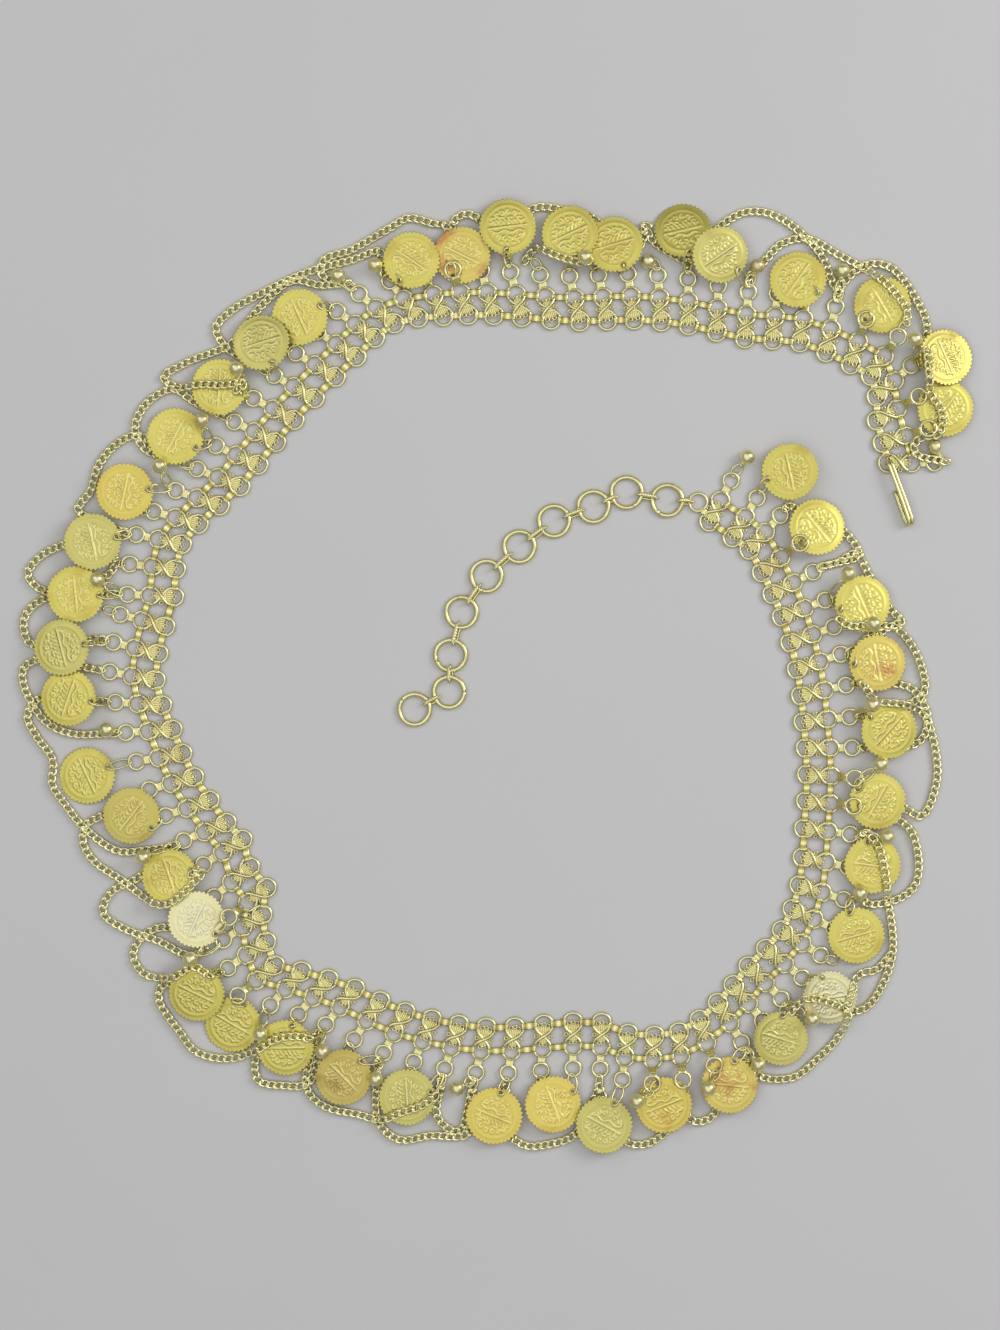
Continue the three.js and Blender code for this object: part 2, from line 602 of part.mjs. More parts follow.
// The swags hang in two runs that part near the lowest point of the loop.
const SPLIT = { column: 59, swags: [23, 34] };
const firstSwags = [...SWAGS.slice(0, SPLIT.swags[0]), ...SWAGS.slice(SPLIT.swags[1])];
const secondSwags = SWAGS.slice(...SPLIT.swags);
add("swags_1", geometryOf(fringe(1, SPLIT.column, firstSwags)), WIRE);
add("swags_2", geometryOf(fringe(SPLIT.column + 1, NET.columns, secondSwags)), WIRE);

coins.forEach((coin, i) => add(numbered("coin", i), coinSolid(coin), COIN_GOLD));
EXTENSION.forEach((_, i) => add(numbered("extension_ring", i), geometryOf(extensionRing(i)), BRASS));
add("hook", hookSolid(), WIRE);

belt.position.set(-ORIGIN.x, -ORIGIN.y, 0);
export default belt;
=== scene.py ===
# Coin chain belt laid flat: the net of rings and stamped links, the scalloped coins, the curb-chain
# swags, beads, extension chain and hook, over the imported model. Tables are in millimetres.
import math

import bpy
import numpy as np
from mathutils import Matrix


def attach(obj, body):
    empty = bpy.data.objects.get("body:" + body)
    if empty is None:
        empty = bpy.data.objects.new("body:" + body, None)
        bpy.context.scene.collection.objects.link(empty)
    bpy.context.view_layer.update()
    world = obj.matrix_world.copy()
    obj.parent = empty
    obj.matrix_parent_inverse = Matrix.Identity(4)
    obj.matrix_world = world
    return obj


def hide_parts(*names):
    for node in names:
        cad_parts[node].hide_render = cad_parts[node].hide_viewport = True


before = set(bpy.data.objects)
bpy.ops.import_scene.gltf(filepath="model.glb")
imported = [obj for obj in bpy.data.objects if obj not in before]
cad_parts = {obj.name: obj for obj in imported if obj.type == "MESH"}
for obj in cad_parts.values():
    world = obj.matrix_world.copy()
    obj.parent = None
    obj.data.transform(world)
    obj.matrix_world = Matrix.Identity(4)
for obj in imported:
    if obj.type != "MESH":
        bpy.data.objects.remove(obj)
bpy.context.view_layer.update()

MM = 0.001
ORIGIN = np.array([0, 0.6, 0])  # the middle of the belt's box in the tables' coordinates

# ---------- sizes ----------
COLUMN_COUNT = 89
ROW_2 = 7.6  # how far out rings 2 and 3 lie from ring 1
ROW_3 = 14.8
RING_1, RING_2, RING_3 = 2.95, 2.87, 2.52  # radius to the middle of each row's wire
RING_WIRE = 0.47  # half the wire's thickness, as for every wire here
NET_MIDDLE = 0.78  # height of the net's wires
EDGE_OUT = 18.75  # the net's outer edge, from ring 1
COIN_RADIUS = 9.25
COIN_SHEET = 0.34  # thickness of a coin
COIN_BORDER = 6.95  # radius of the ring pressed round the relief
COIN_HOLE = 0.92  # radius of the pendant hole
COIN_HOLE_OUT = 7.5  # its distance from the coin's middle
CHAIN_PITCH = 2.3
CHAIN_WIDTH = 3.0
CHAIN_WIRE = 0.41
CHAIN_LIE = 0.95  # height of the middle of a chain that lies on the table
JUMP_WIRE = 0.35
JUMP_WIDE = 1.5  # half the width of a jump ring
JUMP_PITCH = 5.4
BEAD_RADIUS = 2.4
EXTENSION_RADIUS = 4.88
EXTENSION_WIRE = 0.76
WIRE_SHADE = 0.24  # painted shade: how much darker the sides and underside of a wire are coloured than its top

# ---------- where the net lies: column number, ring 1 centre, direction outwards in degrees ----------
COLUMNS = [
    (1, 125.3, 68.8, 0), (2, 123.6, 75.2, 17), (3, 121.7, 82.3, 30), (4, 121.7, 90.0, 42),
    (5, 119.8, 96.6, 56), (6, 113.4, 100.3, 72), (8, 97.2, 107.3, 82), (10, 79.6, 108.6, 86),
    (12, 61.6, 112.8, 91), (14, 44.2, 114.6, 98), (16, 26.8, 114.0, 103), (19, -0.7, 116.0, 106),
    (21, -16.8, 115.7, 115), (23, -32.5, 113.4, 140), (25, -44.7, 102.7, 147), (28, -64.5, 82.5, 152),
    (31, -81.8, 61.3, 158), (34, -100.5, 42.8, 168), (36, -103.0, 26.0, 177), (37, -105.8, 16.5, 165),
    (39, -108.9, -0.6, 170), (41, -103.5, -16.4, 184), (43, -96.6, -31.6, 196), (45, -86.2, -46.2, 203),
    (46, -81.1, -51.6, 213), (47, -78.7, -60.4, 220), (48, -73.4, -67.0, 218), (49, -74.7, -75.6, 213),
    (51, -70.7, -91.8, 219), (52, -62.2, -93.7, 228), (54, -45.1, -99.3, 231), (56, -29.0, -106.8, 242),
    (59, -3.1, -111.8, 257), (62, 24.6, -110.0, 270), (63, 33.8, -110.2, 268), (64, 42.2, -113.7, 263),
    (66, 58.5, -113.2, 274), (68, 70.9, -103.8, 301), (70, 80.7, -92.1, 315), (72, 91.4, -80.6, 327),
    (74, 97.0, -66.2, 342), (76, 98.5, -48.1, 353), (78, 99.4, -30.8, 356), (80, 98.3, -14.0, 366),
    (82, 96.2, 2.8, 379), (84, 91.4, 19.6, 381), (86, 85.0, 33.8, 398), (87, 81.0, 41.0, 408),
    (88, 75.6, 45.0, 418), (89, 68.2, 50.0, 422),
]
END_RING = (64.7, 56.2)
END_RING_INSIDE = 2.6  # how far from its middle the extension chain's first link takes hold
# The columns whose ring 3 lies on a coin's edge.
RINGS_OVER_COINS = {2, 3, 5, 6, 20, 48, 51, 65, 66, 67, 77, 78, 86}

# ---------- coins: direction to the pendant hole in degrees, finish ----------
COINS = [
    (200, "dark"), (155, "lemon"), (221, "lemon"), (326, "lemon"), (322, "green"), (285, "lemon"),
    (293, "lemon"), (288, "lemon"), (267, "lemon"), (246, "copper"), (241, "lemon"), (28, "lemon"),
    (300, "green"), (345, "lemon"), (330, "lemon"), (6, "warm"), (11, "green"), (358, "lemon"),
    (8, "green"), (351, "lemon"), (23, "lemon"), (327, "dark"), (15, "lemon"), (322, "pale"),
    (54, "lemon"), (61, "lemon"), (73, "lemon"), (43, "antique"), (11, "green"), (74, "warm"),
    (31, "warm"), (64, "green"), (106, "warm"), (80, "copper"), (86, "green"), (111, "pale"),
    (107, "lemon"), (101, "lemon"), (152, "lemon"), (145, "lemon"), (184, "copper"), (194, "lemon"),
    (221, "lemon"), (198, "lemon"),
]

# How far each coin's relief is turned in degrees, used over and over, and the coins that are bent.
RELIEF_TURNS = [88, 97, 80, 104, 92, 75, 95, 86, 100, 83, 91]
BENT = {23: 0.012, 36: 0.02, 35: 0.014, 28: 0.004}

# ---------- beads: x, y ----------
BEADS = [
    (140.2, 73.8), (133, 107.5), (110.5, 130), (83.5, 131.5), (48.5, 133), (28.3, 133.5), (-38.5, 131.5),
    (-50.5, 128.5), (-82.5, 98.3), (-93.5, 82), (-107, 67.5), (-126.8, 31.3), (-124.3, -16.5),
    (-112.3, -57), (-97.3, -89.3), (-74.8, -113), (-55.3, -118.8), (-38.3, -127.5), (-12.5, -131),
    (44.8, -134.5), (67.5, -130.5), (83.5, -123), (100.5, -108.3), (115.8, -68.5), (124.5, -50.5),
    (122.5, -27.3), (119.5, -8.5), (120, 17.3), (112, 33.2), (80.2, 70.5),
]

# ---------- swags: the points each is laid through; a third value of 1 lies over coins ----------
SWAGS = [
    [(131, 101), (134.4, 95.5), (138.4, 90.5, 1), (141.5, 86, 1), (142.3, 81.5, 1), (140.8, 77.8, 1),
     (136.6, 77, 1), (133.6, 74.6, 1), (134.2, 71.6, 1), (138, 70)],
    [(84.5, 128.5), (86.5, 134), (91, 138.6), (99, 140.5), (110, 135), (118, 130.6, 1), (126.5, 123.3, 1),
     (131, 116.5, 1), (131.5, 110.5)],
    [(61, 133), (72.5, 145), (80, 149), (88, 148.3), (96, 143.5), (104, 135), (107.8, 126), (108, 121.5)],
    [(107.7, 119.5), (110.5, 125.5), (116, 131), (121, 132.5), (127, 130.6), (135, 119.8), (137.8, 112),
     (133, 101)],
    [(56.5, 132.5), (50, 140), (47.8, 145), (46.5, 139), (44, 131)],
    [(44.5, 131), (38, 140), (30, 147.5), (22, 149.6), (13, 150.4), (8, 147), (7, 135)],
    [(6, 131), (0, 141), (-5.5, 146.8), (-9.5, 148.3), (-13, 146.5), (-13, 133)],
    [(-13, 131), (-16, 144.5), (-20, 145.3), (-28, 147), (-34, 143.8), (-46, 137), (-55, 133.5),
     (-55.7, 129), (-50, 125.6)],
    [(-33, 128), (-37, 136.5), (-46, 133.7), (-58, 130.5), (-66, 127.4), (-74, 123.5), (-84, 117.8),
     (-89.5, 112), (-86.5, 106), (-76, 98.5)],
    [(-50, 125), (-56, 125.6), (-65, 127), (-75, 119), (-85, 106.5), (-90, 104.3), (-99, 100.8),
     (-106.2, 96), (-101.5, 93, 1), (-94, 93.6, 1), (-87, 93.3, 1), (-80, 94, 1), (-75, 92)],
    [(-83, 82), (-91, 83.5), (-97, 88.6), (-103, 92.4), (-111.5, 88), (-115.3, 80.5), (-112.5, 73.5),
     (-98, 67)],
    [(-100, 69), (-114.5, 77.5), (-121, 75), (-127, 68), (-129.8, 59.5), (-133.5, 53.8), (-118, 49)],
    [(-118, 47), (-138.5, 42.5), (-146, 38.5), (-149.6, 33), (-144, 27.8), (-124, 33)],
    [(-124, 30), (-144, 25.5), (-149.5, 21.5), (-151, 17.5), (-148.8, 11), (-129, 8)],
    [(-129, 5), (-146, 6), (-151, 3), (-151, -2), (-147.5, -9.5), (-142.5, -15), (-135, -17.8),
     (-124, -18)],
    [(-126, -4), (-145, -6), (-149.8, -12), (-147, -18.5), (-141.8, -26), (-141.8, -34), (-138, -40),
     (-131.5, -48), (-121, -55.2), (-112, -55), (-103, -51)],
    [(-108, -38), (-124, -43), (-131, -47), (-132, -52.5), (-128.5, -58.5), (-119, -65), (-111.5, -70.6),
     (-106, -72.2, 1), (-100.7, -69.5, 1), (-96.7, -65.6, 1), (-93.4, -61.6, 1), (-90, -59)],
    [(-102, -56), (-114, -63.5), (-123, -68.5), (-125.6, -75), (-119, -80), (-108, -84), (-98, -88.6),
     (-90, -88.6)],
    [(-94, -78), (-110, -80.5), (-116, -88), (-112.5, -94.5, 1), (-104, -95.6, 1), (-96, -91.8, 1),
     (-86.5, -92.5)],
    [(-90, -96), (-106.8, -98.5), (-107.7, -103), (-105, -108), (-101.2, -113), (-97, -118.6),
     (-91.8, -121), (-84, -121.5), (-77, -119, 1), (-70, -114.8, 1), (-62, -114, 1), (-55, -115)],
    [(-70, -110), (-76.5, -121), (-76, -128.5), (-67, -130.3), (-60.5, -129.8), (-57.3, -124),
     (-54.5, -116.5)],
    [(-59, -117), (-60.5, -131), (-55, -136.8), (-44, -139.5), (-37.5, -141, 1), (-30, -138.3, 1),
     (-23.5, -136, 1), (-17, -131, 1), (-13, -127.5)],
    [(-33, -123), (-37.5, -142), (-31, -147.5), (-21, -146.3), (-9, -145.5), (-3, -131)],
    [(0, -131), (3, -144), (9, -149.3), (17, -149), (25, -146), (30, -130)],
    [(36, -130), (38, -143), (42.5, -148.6), (49, -148.6), (56, -143), (58, -131.5)],
    [(59, -131), (60, -138), (63.5, -141.7), (69, -140.2), (73, -131), (75, -121)],
    [(77, -120), (84, -127), (95, -127.6), (103, -121.5), (109.5, -114.5, 1), (112, -107, 1),
     (108, -104, 1), (98.5, -102, 1), (94, -99.5)],
    [(97, -96), (109, -106), (118, -105.5), (124, -97), (126.8, -87), (126.2, -77), (124.8, -69.5, 1),
     (124, -62, 1), (121.5, -53, 1), (117.5, -48.5, 1), (114, -46)],
    [(113, -66), (118, -71.6), (128.5, -70.6), (134, -66), (134.8, -56), (131.5, -47.5), (115, -44)],
    [(114, -37), (129, -41), (136, -44), (140.8, -33), (140, -21), (136.5, -11.5, 1), (129, -8.3, 1),
     (121, -7, 1), (114.5, -6)],
    [(114, -20), (135, -20.5), (138, -13), (133, -3.5), (114, -3.5)],
    [(112, 10), (125, 17), (130.5, 13.5), (135.5, 5), (136.8, -4.5), (131.5, -8.5)],
    [(100, 34), (109, 36.8), (115, 39.8), (118.6, 34), (121.8, 28.5), (125.6, 22.5), (129.5, 18),
     (126, 16.5)],
    [(93, 55), (101, 51.5), (107.5, 49), (111.8, 46.3), (115.8, 39.5)],
    [(-16, -128), (-18.6, -140.5), (-12, -145)],
]
SECOND_RUN = range(23, 34)  # the swags of the second run, counted from 0
SECOND_HANGERS = 59  # the column where the second run's jump rings start, counted from 0

# ---------- short strands that end on other swags, beads or coins: run, points ----------
STRANDS = [
    (0, [(9.4, 133.6), (12.8, 137.3), (17.6, 135, 1), (23.8, 132.8, 1), (27, 132.2, 1), (31, 133)]),
    (1, [(125.6, -89), (121.5, -93.2), (117.4, -94.2), (114.6, -96, 1), (113.3, -100, 1),
         (111.7, -104.8, 1)]),
    (1, [(109.5, 18.5), (112, 16.8, 1), (115, 16.5, 1), (118.4, 17.4, 1)]),
]

# ---------- extension chain: its rings, from the belt's end to the loose end ----------
EXTENSION = [
    (54.8, 56.8), (41.8, 59.3), (31.2, 54.8), (18.6, 50.2), (7.5, 42.0),
    (-3.0, 32.6), (-11.0, 21.0), (-14.5, 7.3), (-15.0, -4.5), (-26.0, -10.0),
]

# ---------- hook ----------
HOOK_AT = (125.3, 68.8)
HOOK_TOWARD = math.radians(-70)
HOOK_LENGTH = 21.5
HOOK_ARM = 3.15  # height of the middle of the upper run
HOOK_LEG = 0.75  # and of the lower run
HOOK_WIRE = 0.56

rng = np.random.default_rng(11)


# ---------- camera ----------
def look_down():
    height = 0.9
    middle = (0.00128, 0.00356)  # what the camera looks at, in metres
    framed = 0.4256  # the long side of what it sees on the table
    sensor = 36
    data = bpy.data.cameras.new("overhead")
    data.sensor_width = sensor
    data.lens = sensor * height / framed
    data.clip_start = 0.05
    data.clip_end = 10
    camera = bpy.data.objects.new("overhead", data)
    camera.location = (*middle, height)
    bpy.context.collection.objects.link(camera)
    bpy.context.scene.camera = camera


look_down()


# ---------- mesh making ----------
class Metalwork:
    """The points and faces of one piece, in the tables' millimetres, and each point's level of wear and
    painted light.
    """

    def __init__(self):
        self.points = []
        self.faces = []
        self.wear_and_light = []
        self.count = 0

    def add(self, points, faces, wear_and_light):
        """From 0, dull in hollows and painted shade, to 1, metal that wear keeps bright and painted
        highlight.
        """
        self.points.append(points)
        self.faces.append([[i + self.count for i in face] for face in faces])
        self.wear_and_light.append(np.broadcast_to(wear_and_light, len(points)))
        self.count += len(points)

    def grid(self, rows, wear_and_light, wrap_rows=False, caps=False):
        """Quads round an array of rows of points, each row closed on itself; caps close both ends."""
        many, across = rows.shape[:2]
        index = np.arange(many * across).reshape(many, across)
        down = np.vstack([index, index[:1]]) if wrap_rows else index
        both = np.hstack([down, down[:, :1]])
        quads = np.stack([both[:-1, :-1], both[:-1, 1:], both[1:, 1:], both[1:, :-1]], -1)
        faces = quads.reshape(-1, 4).tolist()
        if caps == "folded":  # each row runs out over the top and back below
            half = across // 2
            back = index[:, ::-1]
            for k in range(half - 1):
                first, last = ([row[k], row[k + 1], under[k + 1], under[k]] for row, under in
                               ((index[0], back[0]), (index[-1], back[-1])))
                faces += [[int(i) for i in first[::-1]], [int(i) for i in last]]
        elif caps:
            faces.append(index[0][::-1].tolist())
            faces.append(index[-1].tolist())
        self.add(rows.reshape(-1, 3), faces, np.ravel(wear_and_light))

    def stamp(self, other, place):
        """Adds another piece's metal, each of its points moved by place()."""
        for points, faces, wear_and_light in zip(other.points, other.faces, other.wear_and_light):
            start = min(min(face) for face in faces)
            self.add(place(points), [[i - start for i in face] for face in faces], wear_and_light)

    def made(self, name, finish, body="belt"):
        """The finished piece, in metres, riding on a body."""
        points = (np.concatenate(self.points) - ORIGIN) * MM
        mesh = bpy.data.meshes.new(name)
        mesh.from_pydata(points.tolist(), [], [face for part in self.faces for face in part])
        mesh.polygons.foreach_set("use_smooth", np.ones(len(mesh.polygons), bool))
        layer = mesh.attributes.new("wear_and_light", "FLOAT", "POINT")
        layer.data.foreach_set("value", np.concatenate(self.wear_and_light).astype(np.float32))
        mesh.materials.append(finish)
        piece = bpy.data.objects.new(name, mesh)
        bpy.context.collection.objects.link(piece)
        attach(piece, body)
        return piece


def unit(vectors):
    return vectors / np.maximum(np.linalg.norm(vectors, axis=-1, keepdims=True), 1e-9)


def wire(metal, path, radius, sides, closed=False, up=(0, 0, 1), wear_and_light=0.8):
    """A round wire along a path of points."""
    if closed:
        tangent = np.roll(path, -1, 0) - np.roll(path, 1, 0)
    else:
        tangent = np.gradient(path, axis=0)
    tangent = unit(tangent)
    side = unit(np.cross(tangent, np.broadcast_to(up, path.shape)))
    lift = np.cross(side, tangent)
    turn = np.linspace(0, 2 * math.pi, sides, endpoint=False)
    radius = np.broadcast_to(radius, len(path))[:, None, None]
    away = np.cos(turn)[:, None] * side[:, None] + np.sin(turn)[:, None] * lift[:, None]
    # Painted shade: the level falls as the wire's surface turns from up to sideways and down.
    level = wear_and_light - WIRE_SHADE * (1 - away[:, :, 2])
    metal.grid(path[:, None] + radius * away, level, wrap_rows=closed, caps=not closed)


LEVEL = ((1, 0, 0), (0, 1, 0))  # the axes of a ring that lies flat


def ring(metal, centre, radius, thick, around=20, sides=7, axes=LEVEL, oval=1.0, wear_and_light=0.9):
    """A closed ring in the plane of two axes, longer along the first where oval is over 1."""
    turn = np.linspace(0, 2 * math.pi, around, endpoint=False)[:, None]
    first, second = np.array(axes, float)
    path = np.array(centre) + radius * (oval * np.cos(turn) * first + np.sin(turn) * second)
    wire(metal, path, thick, sides, closed=True, up=np.cross(first, second), wear_and_light=wear_and_light)


def sheet(metal, rows, thick, wear_and_light, underside_light):
    """A thin plate: its upper face is rows of points, its lower face lies straight below."""
    below = rows - np.array([0, 0, thick])
    loop = np.concatenate([rows, below[:, ::-1]], axis=1)
    level = np.broadcast_to(wear_and_light, rows.shape[:2])
    # The lower face takes its own, lower level: painted shade on the underside.
    both = np.concatenate([level, underside_light * np.ones_like(level)], axis=1)
    metal.grid(loop, both, caps="folded")


def hermite(t, start, start_slope, end, end_slope):
    """A cubic from start to end as t goes from 0 to 1."""
    return (
        (2 * t**3 - 3 * t**2 + 1) * start + (t**3 - 2 * t**2 + t) * start_slope
        + (3 * t**2 - 2 * t**3) * end + (t**3 - t**2) * end_slope
    )


def spline(points, per_span):
    """A smooth path through points, by a centripetal Catmull-Rom curve."""
    points = np.asarray(points, float)
    ends = np.vstack([2 * points[0] - points[1], points, 2 * points[-1] - points[-2]])
    path = []
    for p0, p1, p2, p3 in zip(ends, ends[1:], ends[2:], ends[3:]):
        steps = (p1 - p0, p2 - p1, p3 - p2)
        d0, d1, d2 = (max(np.linalg.norm(step), 1e-4) ** 0.5 for step in steps)
        m1 = ((p1 - p0) / d0 - (p2 - p0) / (d0 + d1) + (p2 - p1) / d1) * d1
        m2 = ((p2 - p1) / d1 - (p3 - p1) / (d1 + d2) + (p3 - p2) / d2) * d1
        t = np.linspace(0, 1, per_span, endpoint=False)[:, None]
        path.append(hermite(t, p1, m1, p2, m2))
    return np.vstack([*path, points[-1:]])


def spaced(path, step):
    """Points at even steps along a path."""
    reach = np.concatenate([[0], np.cumsum(np.linalg.norm(np.diff(path[:, :2], axis=0), axis=1))])
    many = max(2, round(reach[-1] / step))
    stations = np.linspace(0, reach[-1], many + 1)
    return np.stack([np.interp(stations, reach, path[:, i]) for i in range(path.shape[1])], 1)


# ---------- the net's columns ----------
class Column:
    """One column of three rings: its place is a cubic through the neighbouring rows of the table."""

    def __init__(self, number):
        i = max(1, next(k for k, row in enumerate(COLUMNS) if row[0] >= number))
        rows = [COLUMNS[max(i - 2, 0)], COLUMNS[i - 1], COLUMNS[i], COLUMNS[min(i + 1, len(COLUMNS) - 1)]]
        n0, n1, n2, n3 = (row[0] for row in rows)
        span = n2 - n1
        t = (number - n1) / span
        place = []
        for key in (1, 2, 3):
            a, b, c, d = (row[key] for row in rows)
            m1 = (c - a) / (n2 - n0) * span
            m2 = (d - b) / (n3 - n1) * span
            place.append(hermite(t, b, m1, c, m2))
        self.x, self.y = place[:2]
        self.out = math.radians(place[2])
        self.edge = EDGE_OUT
        self.lift = 0.0  # how far ring 3 is raised by the coin it lies on

    def at(self, outwards, along=0.0, height=NET_MIDDLE):
        """The point so far out from ring 1, so far along the belt, and so high."""
        c, s = math.cos(self.out), math.sin(self.out)
        return np.array([self.x + outwards * c - along * s, self.y + outwards * s + along * c, height])

    def place(self, points):
        """Points given as distance out, distance along and height, where this column lies."""
        c, s = math.cos(self.out), math.sin(self.out)
        u, a = points[:, 0], points[:, 1]
        return np.stack([self.x + u * c - a * s, self.y + u * s + a * c, points[:, 2]], 1)

    def outwards(self, x, y):
        """How far out from ring 1 a place is."""
        return (x - self.x) * math.cos(self.out) + (y - self.y) * math.sin(self.out)


columns = [Column(n) for n in range(1, COLUMN_COUNT + 1)]
# Where a neighbour's ring 3 stands out further, as on the inside of a bend, the edge is further out.
for i, column in enumerate(columns):
    near = columns[max(i - 1, 0) : i] + columns[i + 1 : i + 2]
    proud = [column.outwards(*other.at(ROW_3)[:2]) - ROW_3 for other in near]
    column.edge = EDGE_OUT + max(0, *proud, 0) / 2


def nearest_column(x, y):
    """The column whose outer end is nearest to a place."""
    return min(columns, key=lambda c: math.hypot(*(c.at(c.edge + 0.4)[:2] - (x, y))))


# ---------- the net's stamped links ----------
def fan_link():
    """The figure between rings 1 and 2: a ribbed fan with loops, its waist, and the crossed wires."""
    metal = Metalwork()
    waist = 3.85
    # Distance from the waist, inwards where below 0, and half the fan's angle there.
    fans = [(-3.7, 42), (-3.1, 48), (-2.5, 56), (-2.0, 66), (-1.75, 78), (-1.6, 90),
            (1.6, 90), (1.75, 78), (2.0, 66), (2.4, 54)]
    across = np.linspace(-1, 1, 17)
    rows, levels = [], []
    for reach, half in fans:
        angle = across * math.radians(half)
        lobed = abs(reach) + (0.2 * np.cos(3 * math.pi * across) if abs(reach) > 2 else 0)
        ribs = 0.5 + 0.5 * np.cos(8 * math.pi * across)
        depth = min(1.0, abs(reach) / 2)
        u = waist + math.copysign(1, reach) * lobed * np.cos(angle)
        height = 1.0 + 0.38 * ribs * depth - 0.3 * across**2
        rows.append(np.stack([u, abs(reach) * np.sin(angle), height], 1))
        levels.append(0.3 + 0.7 * ribs * depth)
    sheet(metal, np.array(rows), 0.4, np.array(levels), 0.3)
    # Small wire loops: distance out, distance along the belt, radius.
    loops = [
        (0.25, -1.2, 0.6), (-0.15, 0.0, 0.62), (0.25, 1.2, 0.6), (6.45, -0.62, 0.55), (6.45, 0.62, 0.55),
        (waist, -2.25, 0.6), (waist, 2.25, 0.6),
    ]
    for u, a, size in loops:
        ring(metal, (u, a, 1.25), size, 0.22, 10, 5, wear_and_light=0.85)
    over = [(0.9, 2.75, 0.95), (2.3, 2.0, 1.35), (3.7, 0.25, 1.75), (5.2, -1.7, 1.4), (6.6, -2.65, 0.95)]
    under = [(0.9, -2.75, 0.95), (2.3, -2.0, 0.95), (3.7, -0.25, 0.85), (5.2, 1.7, 0.95), (6.6, 2.65, 0.95)]
    for path in (over, under):
        wire(metal, spline(path, 3), RING_WIRE * 1.15, 6, wear_and_light=0.9)
    return metal


def waist_link():
    """The smooth hourglass plate between rings 2 and 3, folded over the wire of both."""
    metal = Metalwork()
    middle = (ROW_2 + RING_2 + ROW_3 - RING_3) / 2
    neck_half = 1.25
    across = np.linspace(-1, 1, 11)
    # Each end: the ring's place, the fold's radius, which way it faces, and half its angle.
    ends = [(ROW_2, RING_2 - 0.3, 1, 60), (ROW_3, RING_3 - 0.3, -1, 64)]
    rows = []
    for centre, radius, side, half in ends:
        angle = across * math.radians(half)
        fold = np.stack([centre + side * radius * np.cos(angle), radius * np.sin(angle)], 1)
        neck = np.stack([np.full(len(across), middle - 0.12 * side), neck_half * across], 1)
        part = []
        for t in (0.0, 0.16, 0.32, 0.5, 0.7, 0.9, 1.0):
            spread = t**1.9
            u = fold[:, 0] * (1 - t) + neck[:, 0] * t
            a = fold[:, 1] * (1 - t) ** 1.7 + neck[:, 1] * (1 - (1 - t) ** 1.7)
            height = 1.3 - 0.28 * (1 - spread) * across**2 - 0.1 * spread + 0.12 * (t < 0.4)
            if t == 0:  # the edge is tucked down round the wire
                height = height - 0.25
            part.append(np.stack([u, a, height], 1))
        rows.append(part if side > 0 else part[::-1])
    sheet(metal, np.array(rows[0] + rows[1]), 0.42, 0.8, 0.5)
    return metal


def clip(metal, a, b, hole, wide):
    """A folded, ribbed strip round the wires of two neighbouring rings."""
    underside = 0.06
    along = unit(b - a)
    side = np.array([-along[1], along[0], 0])
    half = np.linalg.norm(b - a) / 2 - hole + 0.35
    turn = np.linspace(0, 2 * math.pi, 24, endpoint=False)
    length = half * np.sign(np.cos(turn)) * np.abs(np.cos(turn)) ** 0.55
    rise = np.sign(np.sin(turn)) * np.abs(np.sin(turn)) ** 0.6
    ribs = np.cos(length / half * 2 * math.pi)
    rows, levels = [], []
    for v in np.linspace(-1, 1, 7):
        edge = 0.5 + 0.5 * math.cos(2 * math.pi * v)
        strip = (a + b) / 2 + length[:, None] * along + v * wide * side
        height = NET_MIDDLE + rise * (0.6 + 0.3 * ribs + 0.14 * edge) * (1 - 0.25 * abs(v) ** 3)
        strip[:, 2] = np.maximum(height, underside)
        rows.append(strip)
        # Rib crests and the strip's middle and edges get a higher level: partly wear, partly painted
        # highlight.
        levels.append(0.62 + 0.42 * ribs + 0.12 * edge)
    metal.grid(np.array(rows)[::-1], np.array(levels), caps=True)


def smooth_rise(u):
    """0 in ring 2, 1 where a raised link reaches the coin."""
    start, climb = 9.4, 2.6
    t = np.clip((u - start) / climb, 0, 1)
    return t * t * (3 - 2 * t)


def lift_of(number, column):
    """How far a column's ring 3 is raised by the coin it lies on."""
    if number not in RINGS_OVER_COINS:
        return 0.0
    x, y = column.at(ROW_3)[:2]
    return max(0.0, coin_height(x, y, RING_3 + RING_WIRE) + RING_WIRE - NET_MIDDLE)


def net_stretch(first, last):
    """The net from one column to another, with the clips to the next stretch."""
    metal = Metalwork()
    fan, waist = fan_link(), waist_link()
    for i in range(first - 1, last):
        column = columns[i]
        along = np.array([-math.sin(column.out), math.cos(column.out), 0])
        outwards = np.array([math.cos(column.out), math.sin(column.out), 0])
        metal.stamp(fan, column.place)
        lift = column.lift = lift_of(i + 1, column)
        metal.stamp(waist, lambda p: column.place(p + lift * smooth_rise(p[:, :1]) * (0, 0, 1)))
        ring(metal, column.at(0), RING_1, RING_WIRE)
        ring(metal, column.at(ROW_2), RING_2, RING_WIRE * 0.95)
        tip = rng.uniform(-0.12, 0.12, (2, 1))
        axes = unit(np.array([outwards, along]) + tip * (0, 0, 1))
        ring(metal, column.at(ROW_3, 0, NET_MIDDLE + 0.1 + lift), RING_3, RING_WIRE, axes=axes)
        if i + 1 < COLUMN_COUNT:
            nearby = columns[i + 1]
            clip(metal, column.at(0), nearby.at(0), RING_1 - RING_WIRE, 1.08)
            clip(metal, column.at(ROW_2), nearby.at(ROW_2), RING_2 - RING_WIRE, 0.98)
            bar = np.linspace(column.at(-0.9, 2.5, 0.5), nearby.at(-0.9, -2.5, 0.5), 4)
            wire(metal, bar, 0.22, 5)
    if last == COLUMN_COUNT:
        end = np.array([*END_RING, NET_MIDDLE])
        ring(metal, end, 2.9, RING_WIRE)
        clip(metal, columns[-1].at(0), end, RING_1 - RING_WIRE, 1.0)
    return metal


